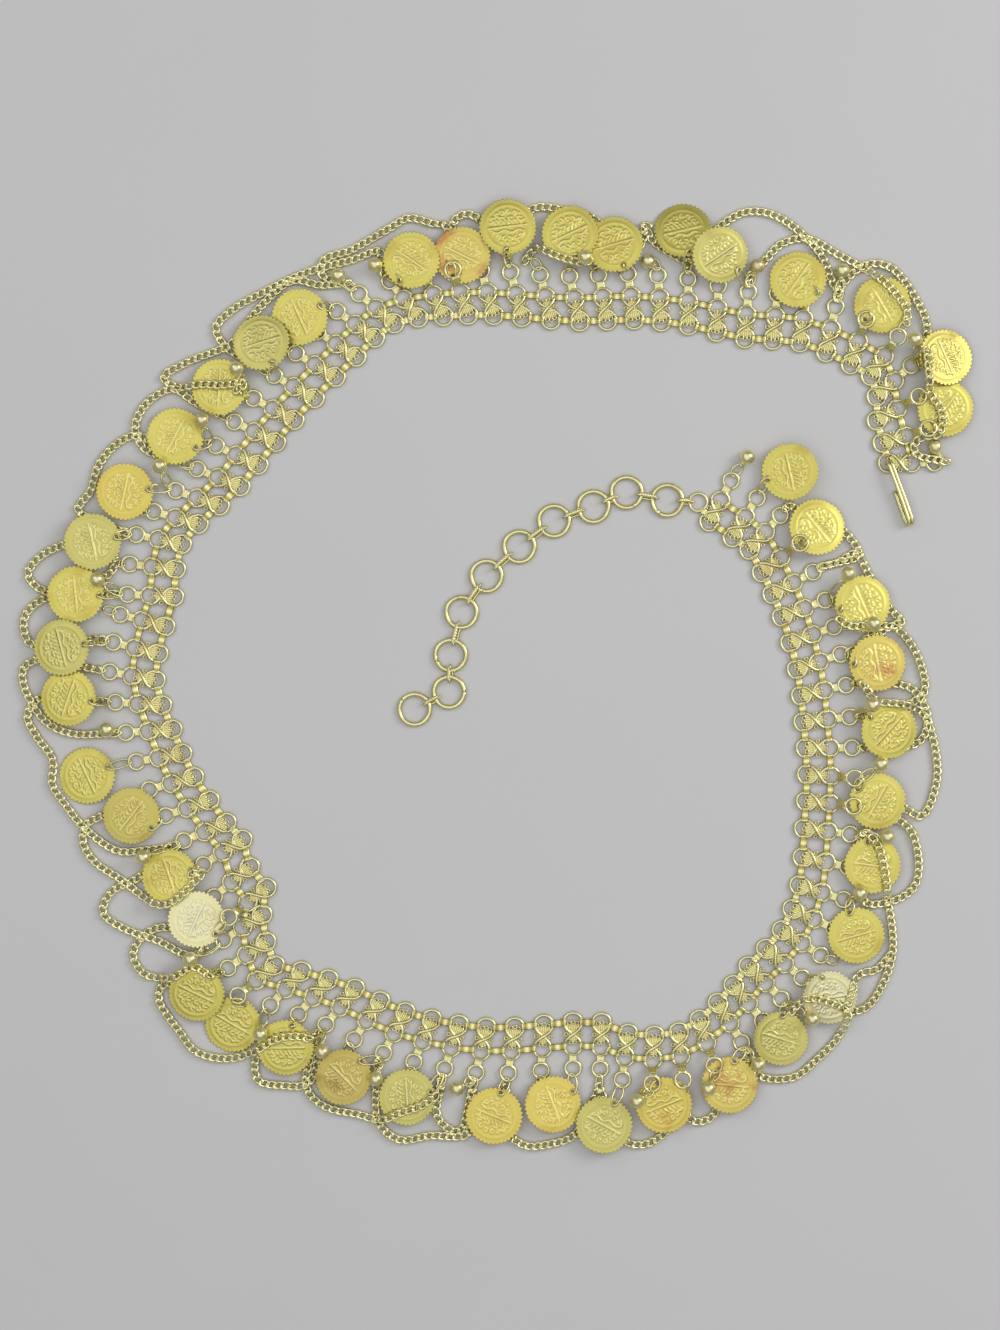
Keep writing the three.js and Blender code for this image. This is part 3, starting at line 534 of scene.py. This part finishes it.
# ---------- coins ----------
def relief_strokes():
    """Stem, vine, leaves, scrolls and dots of a coin's relief: paths and their half widths."""
    fine = 0.26
    strokes = [(np.array([(-5.8, 0.35), (5.9, -0.35)]), 0.36)]
    x = np.linspace(-5.1, 5.2, 22)
    strokes.append((np.stack([x, -1.5 + 0.42 * np.sin(x * 1.35)], 1), 0.3))
    for k, x0 in enumerate((-4.5, -3.1, -1.7, -0.3, 1.1, 2.5, 3.9)):
        strokes.append((np.array([(x0, 1.0), (x0 + 0.3, 1.9), (x0 + 0.95, 2.25)]), fine))
        if k % 2 == 0:
            strokes.append((np.array([(x0 - 0.1, 3.0), (x0 + 1.1, 3.15), (x0 + 1.3, 2.6)]), fine))
    scrolls = [
        (-2.5, 4.4, 0.62, 20, 250), (-0.5, 5.0, 0.6, 200, 250), (1.5, 4.6, 0.62, 30, 240),
        (3.1, 3.9, 0.55, 220, 250), (-4.2, -3.0, 0.58, 0, 260), (-2.5, -3.6, 0.62, 180, 250),
        (-0.6, -3.9, 0.62, 60, 260), (1.3, -3.7, 0.6, 200, 250), (3.1, -3.1, 0.58, 20, 260),
    ]
    for x0, y0, radius, start, sweep in scrolls:
        turn = np.radians(np.linspace(start, start + sweep, 9))
        strokes.append((np.stack([x0 + radius * np.cos(turn), y0 + radius * np.sin(turn)], 1), fine))
    dots = [
        (-5.1, 2.0), (5.2, 1.4), (-4.0, 4.2), (-5.1, -2.4), (4.8, -2.2), (-1.6, -5.3), (0.4, -5.4),
        (2.3, -5.0), (-3.3, -4.9), (4.3, 3.0),
    ]
    for x0, y0 in dots:
        strokes.append((np.array([(x0, y0), (x0 + 0.05, y0)]), 0.38))
    return strokes


STROKES = relief_strokes()


def relief(x, y):
    """Height of a coin's relief, from 0 to 1: each stroke has a flat top and sloping sides."""
    height = np.zeros_like(x)
    for path, half in STROKES:
        for a, b in zip(path[:-1], path[1:]):
            d = b - a
            share = np.clip(((x - a[0]) * d[0] + (y - a[1]) * d[1]) / (d @ d), 0, 1)
            off = np.hypot(x - a[0] - share * d[0], y - a[1] - share * d[1])
            height = np.maximum(height, np.clip(1.4 * (1 - (off / (half * 1.3)) ** 2), 0, 1))
    return height


def coin_plane(number, hole_way):
    """Where a coin lies: its middle, its upward normal and the direction to its pendant hole."""
    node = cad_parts[f"coin_{number:02d}"]
    corners = np.array([v.co for v in node.data.vertices]) / MM + ORIGIN
    centre = corners.mean(0)
    normal = np.linalg.svd(corners - centre)[2][2]
    normal = normal * np.sign(normal[2])
    way = np.array([math.cos(math.radians(hole_way)), math.sin(math.radians(hole_way)), 0])
    return centre, normal, unit(way - (way @ normal) * normal)


def plane_height(centre, normal, x, y):
    """Height of a coin's plane at a place."""
    return centre[2] - ((x - centre[0]) * normal[0] + (y - centre[1]) * normal[1]) / normal[2]


coin_faces = [coin_plane(number, hole_way) for number, (hole_way, _) in enumerate(COINS, 1)]


def coin_height(x, y, reach=0.0):
    """Height of the highest coin's face at a place, or 0 where there is none."""
    face = 0.3  # relief and warp above the coin's plane
    top = 0.0
    for centre, normal, _ in coin_faces:
        if math.hypot(x - centre[0], y - centre[1]) <= COIN_RADIUS + reach:
            top = max(top, plane_height(centre, normal, x, y) + face)
    return top


def coin_piece(number, finish, turned, mirror, bent):
    """One coin, scalloped, pierced and in relief; returns the middle of its pendant hole."""
    centre, normal, out = coin_faces[number - 1]
    side = np.cross(normal, out)
    squeeze = 1 - abs(bent) * 2.2  # a bent coin looks narrower from above
    hole = centre + COIN_HOLE_OUT * out * squeeze

    around = 120
    turn = np.linspace(0, 2 * math.pi, around, endpoint=False)
    notch = np.where(np.arange(around) % 3 == 0, 0.65, 0.0)
    hammered = 0.05 * np.sin(5 * turn + number) + 0.04 * np.sin(11 * turn + 2 * number)
    rim = [8.3, COIN_RADIUS - 0.24, COIN_RADIUS - 0.02]
    circles = np.concatenate([[0.12], np.linspace(0.45, 7.3, 23), rim])[:, None] * np.ones(around)
    circles[-1] += -notch + hammered - 0.05
    circles[-2] += -0.95 * notch + hammered - 0.05
    plainer = [0, 8, 15, 19, 22, 24, 25, 26]  # the circles that the underside has

    def surface(radius, top):
        """Points of a face, how raised each is, and which lie in the pendant hole."""
        x, y = radius * np.cos(turn), radius * np.sin(turn)
        # Points in the hole move to its edge, and those near it are eased away.
        away_x, away_y = x - COIN_HOLE_OUT, y
        gone = np.maximum(np.hypot(away_x, away_y), 1e-6)
        inside = gone < COIN_HOLE
        eased = np.maximum((COIN_HOLE + 0.35 * np.maximum(gone - COIN_HOLE * 0.6, 0)) / gone, 1)
        scale = np.where(gone < COIN_HOLE * 1.35, eased, 1)
        scale = np.where(inside, COIN_HOLE / gone, scale)
        x, y = COIN_HOLE_OUT + away_x * scale, away_y * scale
        # The relief stops short of the border and the hole.
        c, s = math.cos(turned), math.sin(turned)
        carved = relief(c * x + s * y * mirror, -s * x + c * y * mirror) * (radius < COIN_BORDER - 0.3)
        carved = carved * (np.hypot(x - COIN_HOLE_OUT, y) > 1.6)
        border = np.clip(1 - ((np.hypot(x, y) - COIN_BORDER) / 0.36) ** 2, 0, 1)
        border = border * (np.hypot(x - COIN_HOLE_OUT, y) > 1.3)
        pierced = np.clip(1 - np.abs(np.hypot(x - COIN_HOLE_OUT, y) - COIN_HOLE) / 0.5, 0, 1)
        height = np.maximum(0.17 * carved, 0.1 * border)
        # The level: relief tops and the border lighter, partly wear and partly painted highlight; painted
        # shade on the relief's slopes; darker round the pendant hole.
        shaded = np.clip(4 * carved * (1 - carved), 0, 1) * (carved < 0.5)
        level = 0.58 + 0.3 * np.maximum(carved, 0.4 * border) - 0.4 * pierced - 0.42 * shaded
        dish = -0.12 * (radius / COIN_RADIUS) ** 2
        warp = 0.1 * np.sin(turn * 2 + number) * (radius / COIN_RADIUS) ** 2
        pressed = height if top else 0.5 * height - COIN_SHEET
        z = dish + warp + pressed + bent * (x * 0.3 + y * 0.95) ** 2
        x, y, z = (squeeze * x)[..., None], (squeeze * y)[..., None], z[..., None]
        return centre + x * out + y * side + z * normal, level, inside

    upper, lower = surface(circles, True), surface(circles[plainer], False)
    rows, levels, gone = (np.concatenate([above, below[::-1]]) for above, below in zip(upper, lower))
    index = np.arange(len(rows) * around).reshape(-1, around)
    both = np.hstack([index, index[:, :1]])
    quads = np.stack([both[:-1, :-1], both[1:, :-1], both[1:, 1:], both[:-1, 1:]], -1).reshape(-1, 4)
    closed = gone.ravel()[quads].all(1)
    faces = quads[~closed].tolist() + [index[0].tolist(), index[-1][::-1].tolist()]
    metal = Metalwork()
    metal.add(rows.reshape(-1, 3), faces, levels.ravel())
    ring(metal, hole + 0.02 * normal, COIN_HOLE + 0.08, 0.16, 16, 5, axes=(out, side))
    piece = metal.made(f"gilt_coin_{number:02d}", finish)
    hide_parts(f"coin_{number:02d}")
    return hole


# ---------- finishes ----------
class Shade:
    """A socket of a finish; arithmetic on it adds Math nodes."""

    def __init__(self, finish, socket):
        self.finish = finish
        self.socket = socket

    def math(self, operation, *values):
        return self.finish.node("ShaderNodeMath", {"operation": operation}, dict(enumerate(values)))

    def __add__(self, other):
        return self.math("ADD", self, other)

    def __sub__(self, other):
        return self.math("SUBTRACT", self, other)

    def __rsub__(self, other):
        return self.math("SUBTRACT", other, self)

    def __mul__(self, other):
        return self.math("MULTIPLY", self, other)

    def above(self, low, high):
        """0 below low, 1 above high, smooth between."""
        settings = {"interpolation_type": "SMOOTHSTEP"}
        return self.finish.node("ShaderNodeMapRange", settings, {0: self, 1: low, 2: high})

    __radd__ = __add__
    __rmul__ = __mul__


class Finish:
    """A material, built from nodes by name."""

    def __init__(self, name):
        self.material = bpy.data.materials.new(name)
        self.material.use_nodes = True
        self.tree = self.material.node_tree
        self.tree.nodes.clear()

    def node(self, kind, settings=None, sockets=None, output=0):
        """A node with its settings set first, then its sockets; colours are given as three numbers."""
        made = self.tree.nodes.new(kind)
        for key, value in (settings or {}).items():
            setattr(made, key, value)
        for key, value in (sockets or {}).items():
            if isinstance(value, Shade):
                self.tree.links.new(value.socket, made.inputs[key])
            elif isinstance(value, tuple):
                made.inputs[key].default_value = (*value, 1)
            else:
                made.inputs[key].default_value = value
        return Shade(self, made.outputs[output]) if made.outputs else None

    def place(self):
        return self.node("ShaderNodeTexCoord", output="Object")

    def noise(self, scale, detail=2.0):
        sockets = {"Vector": self.place(), "Scale": scale, "Detail": detail}
        return self.node("ShaderNodeTexNoise", None, sockets, "Fac")

    def mix(self, share, a, b):
        settings = {"data_type": "RGBA"}
        return self.node("ShaderNodeMix", settings, {0: share, 6: a, 7: b}, 2)

    def surface(self, sockets):
        """The finished material, from the values and links of its shader."""
        shader = self.node("ShaderNodeBsdfPrincipled", None, sockets)
        self.node("ShaderNodeOutputMaterial", None, {"Surface": shader})
        return self.material


def gilt(name, light, mid, deep, stain, stained, smooth):
    """Gilded brass: bright on raised metal and painted highlights, deeper in hollows and painted shade,
    with stains where the gilt has worn.
    """
    finish = Finish(name)
    # The point's level: wear, and painted light and shade.
    wear_and_light = finish.node("ShaderNodeAttribute", {"attribute_name": "wear_and_light"}, output="Fac")
    cloud = finish.noise(55.0, 3.0)  # slow changes, about as large as a coin
    grain = finish.noise(900.0)  # about a millimetre
    patches = finish.noise(95.0, 4.0).above(0.56, 0.7)
    tone = (wear_and_light * 0.85 + cloud * 0.3).above(0.15, 0.75)
    colour = finish.mix(tone, deep, mid)
    colour = finish.mix((wear_and_light + grain * 0.2).above(0.72, 1.05), colour, light)
    worn = patches * stained * (1.15 - wear_and_light * 0.6)
    colour = finish.mix(worn, colour, stain)
    roughness = smooth + grain * 0.16 + patches * 0.12
    bump = finish.node(
        "ShaderNodeBump", None, {"Strength": 0.14, "Distance": 0.0001, "Height": grain + cloud}, "Normal"
    )
    sockets = {"Base Color": colour, "Metallic": 1.0, "Roughness": roughness, "Normal": bump}
    return finish.surface(sockets)


LEMON = dict(light=(1.0, 0.95, 0.56), mid=(0.7, 0.62, 0.18), deep=(0.22, 0.18, 0.045))
net_gilt = gilt("lemon_gilt_net", **LEMON, stain=(0.42, 0.2, 0.06), stained=0.25, smooth=0.2)
chain_gilt = gilt("lemon_gilt_chain", **LEMON, stain=(0.4, 0.3, 0.07), stained=0.4, smooth=0.2)
wire_gilt = gilt("lemon_gilt_wire", **LEMON, stain=(0.45, 0.36, 0.12), stained=0.3, smooth=0.18)
bead_gilt = gilt(
    "bead_gilt", light=(1.0, 0.96, 0.66), mid=(0.88, 0.8, 0.38), deep=(0.55, 0.46, 0.18),
    stain=(0.5, 0.32, 0.14), stained=0.35, smooth=0.26,
)
# Each tone's light, mid and deep colour, the colour of its stains, and how strong they are.
COIN_TONES = {
    "lemon": ((0.95, 0.87, 0.36), (0.8, 0.71, 0.185), (0.34, 0.28, 0.05), (0.66, 0.42, 0.1), 0.25),
    "green": ((0.9, 0.85, 0.4), (0.72, 0.66, 0.215), (0.3, 0.26, 0.06), (0.54, 0.44, 0.12), 0.3),
    "warm": ((0.97, 0.85, 0.34), (0.84, 0.69, 0.175), (0.4, 0.27, 0.05), (0.72, 0.36, 0.11), 0.35),
    "copper": ((0.97, 0.87, 0.36), (0.82, 0.68, 0.19), (0.36, 0.22, 0.05), (0.62, 0.22, 0.1), 0.8),
    "dark": ((0.86, 0.77, 0.32), (0.68, 0.59, 0.17), (0.28, 0.22, 0.05), (0.45, 0.33, 0.1), 0.4),
    "antique": ((0.9, 0.77, 0.34), (0.64, 0.53, 0.16), (0.2, 0.14, 0.04), (0.34, 0.22, 0.07), 0.5),
    "pale": ((1.0, 0.98, 0.78), (0.96, 0.91, 0.52), (0.5, 0.44, 0.15), (0.8, 0.66, 0.3), 0.15),
}
coin_gilt = {}
for tone, (light, mid, deep, stain, stained) in COIN_TONES.items():
    coin_gilt[tone] = gilt(f"coin_gilt_{tone}", light, mid, deep, stain, stained, 0.34)


# ---------- the net ----------
for number, (first, last) in enumerate([(1, 30), (31, 60), (61, 89)], 1):
    piece = net_stretch(first, last).made(f"ring_net_{number}", net_gilt)
    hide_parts(f"net_{number}")

# ---------- the coins ----------
coin_holes = []
for number, (_, tone) in enumerate(COINS, 1):
    turned = math.radians(RELIEF_TURNS[number % len(RELIEF_TURNS)])
    mirror = -1 if number % 3 == 0 else 1
    coin_holes.append(coin_piece(number, coin_gilt[tone], turned, mirror, BENT.get(number, 0.0)))


# ---------- jump rings ----------
def jump_rings(metal, start, end, wide):
    """Oval rings linked from one point to another, each turned from the one before."""
    away = end - start
    many = max(1, round(np.linalg.norm(away) / JUMP_PITCH))
    along = unit(away)
    flat = unit(np.cross([0, 0, 1], along))
    half = np.linalg.norm(away) / (2 * many) + 0.55
    for k in range(many):
        tilt = math.radians(rng.uniform(12, 30) if k % 2 == 0 else rng.uniform(50, 68))
        across = math.cos(tilt) * flat + math.sin(tilt) * np.cross(along, flat)
        centre = start + away * (k + 0.5) / many
        centre[2] = max(centre[2], wide * abs(across[2]) + half * abs(along[2]) + JUMP_WIRE)
        ring(metal, centre, wide, JUMP_WIRE, 16, 6, axes=(along, across), oval=half / wide)


hangers = [Metalwork(), Metalwork()]
taken = set()


def hang_from(column, point, wide=JUMP_WIDE):
    """Jump rings from a column's ring 3 to a point."""
    number = columns.index(column)
    start = column.at(ROW_3 + RING_3 - 0.45, rng.uniform(-0.5, 0.5), NET_MIDDLE + 0.25 + column.lift)
    jump_rings(hangers[number >= SECOND_HANGERS], start, point, wide)
    taken.add(number)


for hole in coin_holes:
    hang_from(nearest_column(hole[0], hole[1]), hole)


# ---------- the swags ----------
def curb_link():
    """A twisted, slanting link, lying along x."""
    metal = Metalwork()
    turn = np.linspace(0, 2 * math.pi, 14, endpoint=False)
    long, wide = 1.56, CHAIN_WIDTH / 2 - CHAIN_WIRE
    path = np.stack([long * np.cos(turn), wide * np.sin(turn), 0.36 * np.sin(2 * turn)], 1)
    wire(metal, path, CHAIN_WIRE, 6, closed=True)
    points = metal.points[0]
    points[:, 0] += 0.35 * points[:, 1]
    # Painted light and shade: the link's higher points are coloured brighter and its lower points darker.
    metal.wear_and_light[0] = np.clip(0.78 + 0.6 * points[:, 2], 0, 1)
    return metal


def hung(route):
    """A swag's ends hang from the nearest columns, and the rest stays outside the net's edge."""
    margin = 2.4
    clear = []
    for point in route:
        column = nearest_column(point[0], point[1])
        laid_over = len(point) == 3
        if laid_over or column.outwards(point[0], point[1]) > column.edge + margin:
            clear.append((*point, 0)[:3])
    ends = [nearest_column(*point[:2]) for point in (route[0], route[-1])]
    first, last = ((*c.at(c.edge + 0.4)[:2], 0) for c in ends)
    return [first, *clear, last], ends


def lying(path, half):
    """Heights at which something of a half thickness lies along a path whose third value marks coins."""
    net_top = 1.3
    over = np.convolve(path[:, 2] > 0.3, np.ones(13), "same") > 0
    heights = []
    for (x, y, _), lifted in zip(path, over):
        column = nearest_column(x, y)
        ground = net_top if column.outwards(x, y) < column.edge else 0.0
        heights.append(half + max(ground, coin_height(x, y, 0.7) - 0.1 if lifted else 0))
    # The highest of five neighbours, then the mean of seven, so that the chain climbs softly.
    high = [max(heights[max(i - 2, 0) : i + 3]) for i in range(len(heights))]
    padded = [high[0]] * 3 + high + [high[-1]] * 3
    return np.convolve(padded, np.ones(7) / 7, "valid")


def grounded(points):
    """A link's points, raised together where they would dip below the table."""
    return points + max(0, -points[:, 2].min()) * np.array([0, 0, 1])


LINK = curb_link()


def lay_chain(metal, points, ends=()):
    """Curb links along points, with jump rings to the columns at its ends."""
    stations = 4  # for each link
    path = spaced(spline(points, 12), CHAIN_PITCH / stations)
    path[:, 2] = lying(path, CHAIN_LIE)
    path = path[::stations]
    tangent = unit(np.gradient(path, axis=0))
    for spot, t in zip(path, tangent):
        s = unit(np.cross([0, 0, 1], t))
        lift = np.cross(t, s)
        roll = math.radians(rng.uniform(-9, 9))
        s, lift = math.cos(roll) * s + math.sin(roll) * lift, math.cos(roll) * lift - math.sin(roll) * s
        metal.stamp(LINK, lambda p: grounded(spot + p[:, :1] * t + p[:, 1:2] * s + p[:, 2:] * lift))
    for column, spot in zip(ends, (path[0], path[-1])):
        hang_from(column, spot, 1.2)


runs = [Metalwork(), Metalwork()]
for number, route in enumerate(SWAGS):
    lay_chain(runs[number in SECOND_RUN], *hung(route))
for run, route in STRANDS:
    lay_chain(runs[run], [(*point, 0)[:3] for point in route])


# ---------- beads ----------
def turned_piece(metal, base, axis, profile, around=16, wear_and_light=0.75):
    """A turned shape: profile is (distance along the axis, radius) pairs."""
    across = unit(np.cross(axis, [0, 0, 1]) if abs(axis[2]) < 0.9 else np.cross(axis, [1, 0, 0]))
    other = np.cross(axis, across)
    turn = np.linspace(0, 2 * math.pi, around, endpoint=False)[None, :, None]
    along = np.array([s for s, _ in profile])[:, None, None]
    radius = np.array([r for _, r in profile])[:, None, None]
    rows = base + along * axis + radius * (np.cos(turn) * across + np.sin(turn) * other)
    metal.grid(rows[:, ::-1], wear_and_light, caps=True)


def bead_height(x, y):
    """Height of the middle of a bead that rests on the table or on a coin, its edge included."""
    face = 0.35
    height = BEAD_RADIUS
    for centre, normal, _ in coin_faces:
        gone = max(math.hypot(x - centre[0], y - centre[1]) - COIN_RADIUS, 0)
        if gone < BEAD_RADIUS:
            level = plane_height(centre, normal, x, y) + face
            height = max(height, level + math.sqrt(BEAD_RADIUS**2 - gone**2))
    return height


# A bead's two halves meet in a fine groove. Its cap ends in a neck, and the eye sits past that.
angles = np.radians(np.linspace(6, 174, 13))
groove = np.where(np.abs(angles - math.pi / 2) < 0.05, 0.965, 1)
BEAD_BODY = list(zip(-BEAD_RADIUS * np.cos(angles), BEAD_RADIUS * np.sin(angles) * groove))
BEAD_CAP = [(2.15, 1.0), (2.45, 1.05), (2.6, 0.75), (2.9, 0.6)]
BEAD_EYE = 3.5

beads = Metalwork()
for x, y in BEADS:
    column = nearest_column(x, y)
    centre = np.array([x, y, bead_height(x, y)])
    held_at = column.at(ROW_3 + RING_3 - 0.3, 0, NET_MIDDLE + 0.4 + column.lift)
    axis = unit(held_at - centre)
    turned_piece(beads, centre, axis, BEAD_BODY)
    turned_piece(beads, centre, axis, BEAD_CAP, 10)
    eye = centre + axis * BEAD_EYE
    ring(beads, eye, 0.65, 0.22, 12, 5, axes=(axis, (0, 0, 1)))
    if np.linalg.norm(held_at - eye) > 1.5:
        hang_from(column, eye)
beads.made("beads", bead_gilt)

# The columns that hold nothing have a jump ring too.
for i, column in enumerate(columns):
    if i not in taken:
        reach = ROW_3 + RING_3 + rng.uniform(2.2, 3.0)
        hang_from(column, column.at(reach, rng.uniform(-1.4, 1.4), 0.7))

for number, (chain, rings) in enumerate(zip(runs, hangers), 1):
    piece = chain.made(f"curb_chain_{number}", chain_gilt)
    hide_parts(f"swags_{number}")
    rings.made(f"jump_rings_{number}", wire_gilt)


# ---------- extension chain ----------
def seamed_ring(metal, centre):
    """One ring of the chain, with the notch where its wire's ends meet."""
    sides = 10
    notch = 0.02  # half the notch's width, in radians
    seam = rng.uniform(0, 2 * math.pi)
    turn = seam + np.concatenate([[-notch, 0, notch], np.linspace(2 * notch, 2 * math.pi - 2 * notch, 43)])
    path = centre + EXTENSION_RADIUS * np.stack([np.cos(turn), np.sin(turn), 0 * turn], 1)
    thick = np.full(len(turn), EXTENSION_WIRE)
    thick[:3] *= (0.93, 0.62, 0.93)
    shade = np.full((len(turn), sides), 0.85)
    shade[1] = 0.1
    wire(metal, path, thick, sides, closed=True, wear_and_light=shade)


def ribbed_link(metal, start, end):
    """A turned, ribbed bar between two rings, a plain wire beside it, and a small ring at each end."""
    along = unit(end - start)
    side = np.array([-along[1], along[0], 0])
    lifted = np.array([0, 0, 0.62])
    t = np.linspace(0, 1, 29)
    swell = (0.62 + 0.16 * np.abs(np.sin(t * 7 * math.pi))) * (0.72 + 0.28 * np.sin(math.pi * t) ** 0.4)
    profile = list(zip(t * np.linalg.norm(end - start), swell))
    turned_piece(metal, start + lifted + 0.35 * side, along, profile, 12, wear_and_light=0.85)
    beside = 0.4 * lifted - 0.85 * side
    wire(metal, np.linspace(start + along * 0.6 + beside, end - along * 0.6 + beside, 6), 0.36, 8)
    for spot in (start, end):
        ring(metal, spot + 0.82 * lifted, 0.95, 0.3, 14, 6, axes=(along, (0, 0, 1)))


def extension_piece(number):
    metal = Metalwork()
    centre = np.array([*EXTENSION[number], EXTENSION_WIRE])
    before = np.array([*(END_RING if number == 0 else EXTENSION[number - 1]), EXTENSION_WIRE])
    seamed_ring(metal, centre)
    own = EXTENSION_RADIUS - EXTENSION_WIRE
    reach = END_RING_INSIDE if number == 0 else own
    along = unit(before - centre)
    ribbed_link(metal, centre + along * (own - 0.3), before - along * (reach - 0.3))
    piece = metal.made(f"extension_link_{number + 1:02d}", wire_gilt)
    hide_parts(f"extension_ring_{number + 1:02d}")


for number in range(len(EXTENSION)):
    extension_piece(number)


# ---------- hook ----------
def hook_piece():
    """Two wires side by side, bent from the ring along the top, round the tip and back below."""
    metal = Metalwork()
    toward = np.array([math.cos(HOOK_TOWARD), math.sin(HOOK_TOWARD), 0])
    across = np.array([toward[1], -toward[0], 0])
    base = np.array([*HOOK_AT, 0])
    tip = HOOK_LENGTH
    # Distance along the hook, distance sideways, height.
    profile = [
        (0.0, -0.3, 0.7), (0.0, -0.3, 2.2), (0.6, -0.3, 2.95), (2.0, -0.3, HOOK_ARM),
        (8.0, -0.35, HOOK_ARM), (16.0, -0.35, HOOK_ARM), (tip - 1.6, -0.2, HOOK_ARM - 0.1),
        (tip - 0.6, 0.1, 2.3), (tip - 0.8, 0.4, 1.2), (tip - 2.4, 0.6, HOOK_LEG),
        (16.0, 0.65, HOOK_LEG), (9.9, 0.6, HOOK_LEG), (9.4, 0.6, HOOK_LEG + 0.25),
    ]
    for offset in (-HOOK_WIRE, HOOK_WIRE):
        path = [base + u * toward + (v + offset) * across + np.array([0, 0, z]) for u, v, z in profile]
        wire(metal, spline(path, 5), HOOK_WIRE, 10, wear_and_light=0.9)
    piece = metal.made("wire_hook", wire_gilt, "hook")
    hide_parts("hook")


hook_piece()


# ---------- floor and light ----------
def pale_floor():
    finish = Finish("pale_floor")
    mottle = finish.noise(18.0, 3.0)
    colour = finish.mix(mottle * 0.35, (0.74, 0.735, 0.74), (0.69, 0.685, 0.695))
    sockets = {"Base Color": colour, "Roughness": 0.85}
    mesh = bpy.data.meshes.new("floor")
    reach = 1.6
    corners = [(-reach, -reach, 0), (reach, -reach, 0), (reach, reach, 0), (-reach, reach, 0)]
    mesh.from_pydata(corners, [], [(0, 1, 2, 3)])
    mesh.materials.append(finish.surface(sockets))
    floor = bpy.data.objects.new("floor", mesh)
    bpy.context.collection.objects.link(floor)


def softbox(name, spot, size, power):
    """A round soft light at a spot, turned towards the middle of the table."""
    data = bpy.data.lights.new(name, "AREA")
    data.shape = "DISK"
    data.size = size
    data.energy = power
    light = bpy.data.objects.new(name, data)
    light.location = spot
    x, y, z = spot
    light.rotation_euler = (math.atan2(math.hypot(x, y), z), 0, math.atan2(x, -y))
    bpy.context.collection.objects.link(light)


def studio_world():
    world = bpy.data.worlds.new("studio")
    world.use_nodes = True
    background = world.node_tree.nodes["Background"]
    background.inputs["Color"].default_value = (1, 1, 1, 1)
    background.inputs["Strength"].default_value = 0.26
    bpy.context.scene.world = world


pale_floor()
softbox("key", (0.95, 0.4, 0.72), 0.6, 4.0)
softbox("overhead", (-0.05, -0.05, 1.35), 2.2, 8.0)
softbox("fill", (-0.7, 0.5, 0.8), 0.5, 0.8)
studio_world()
bpy.context.scene.view_settings.view_transform = "Standard"
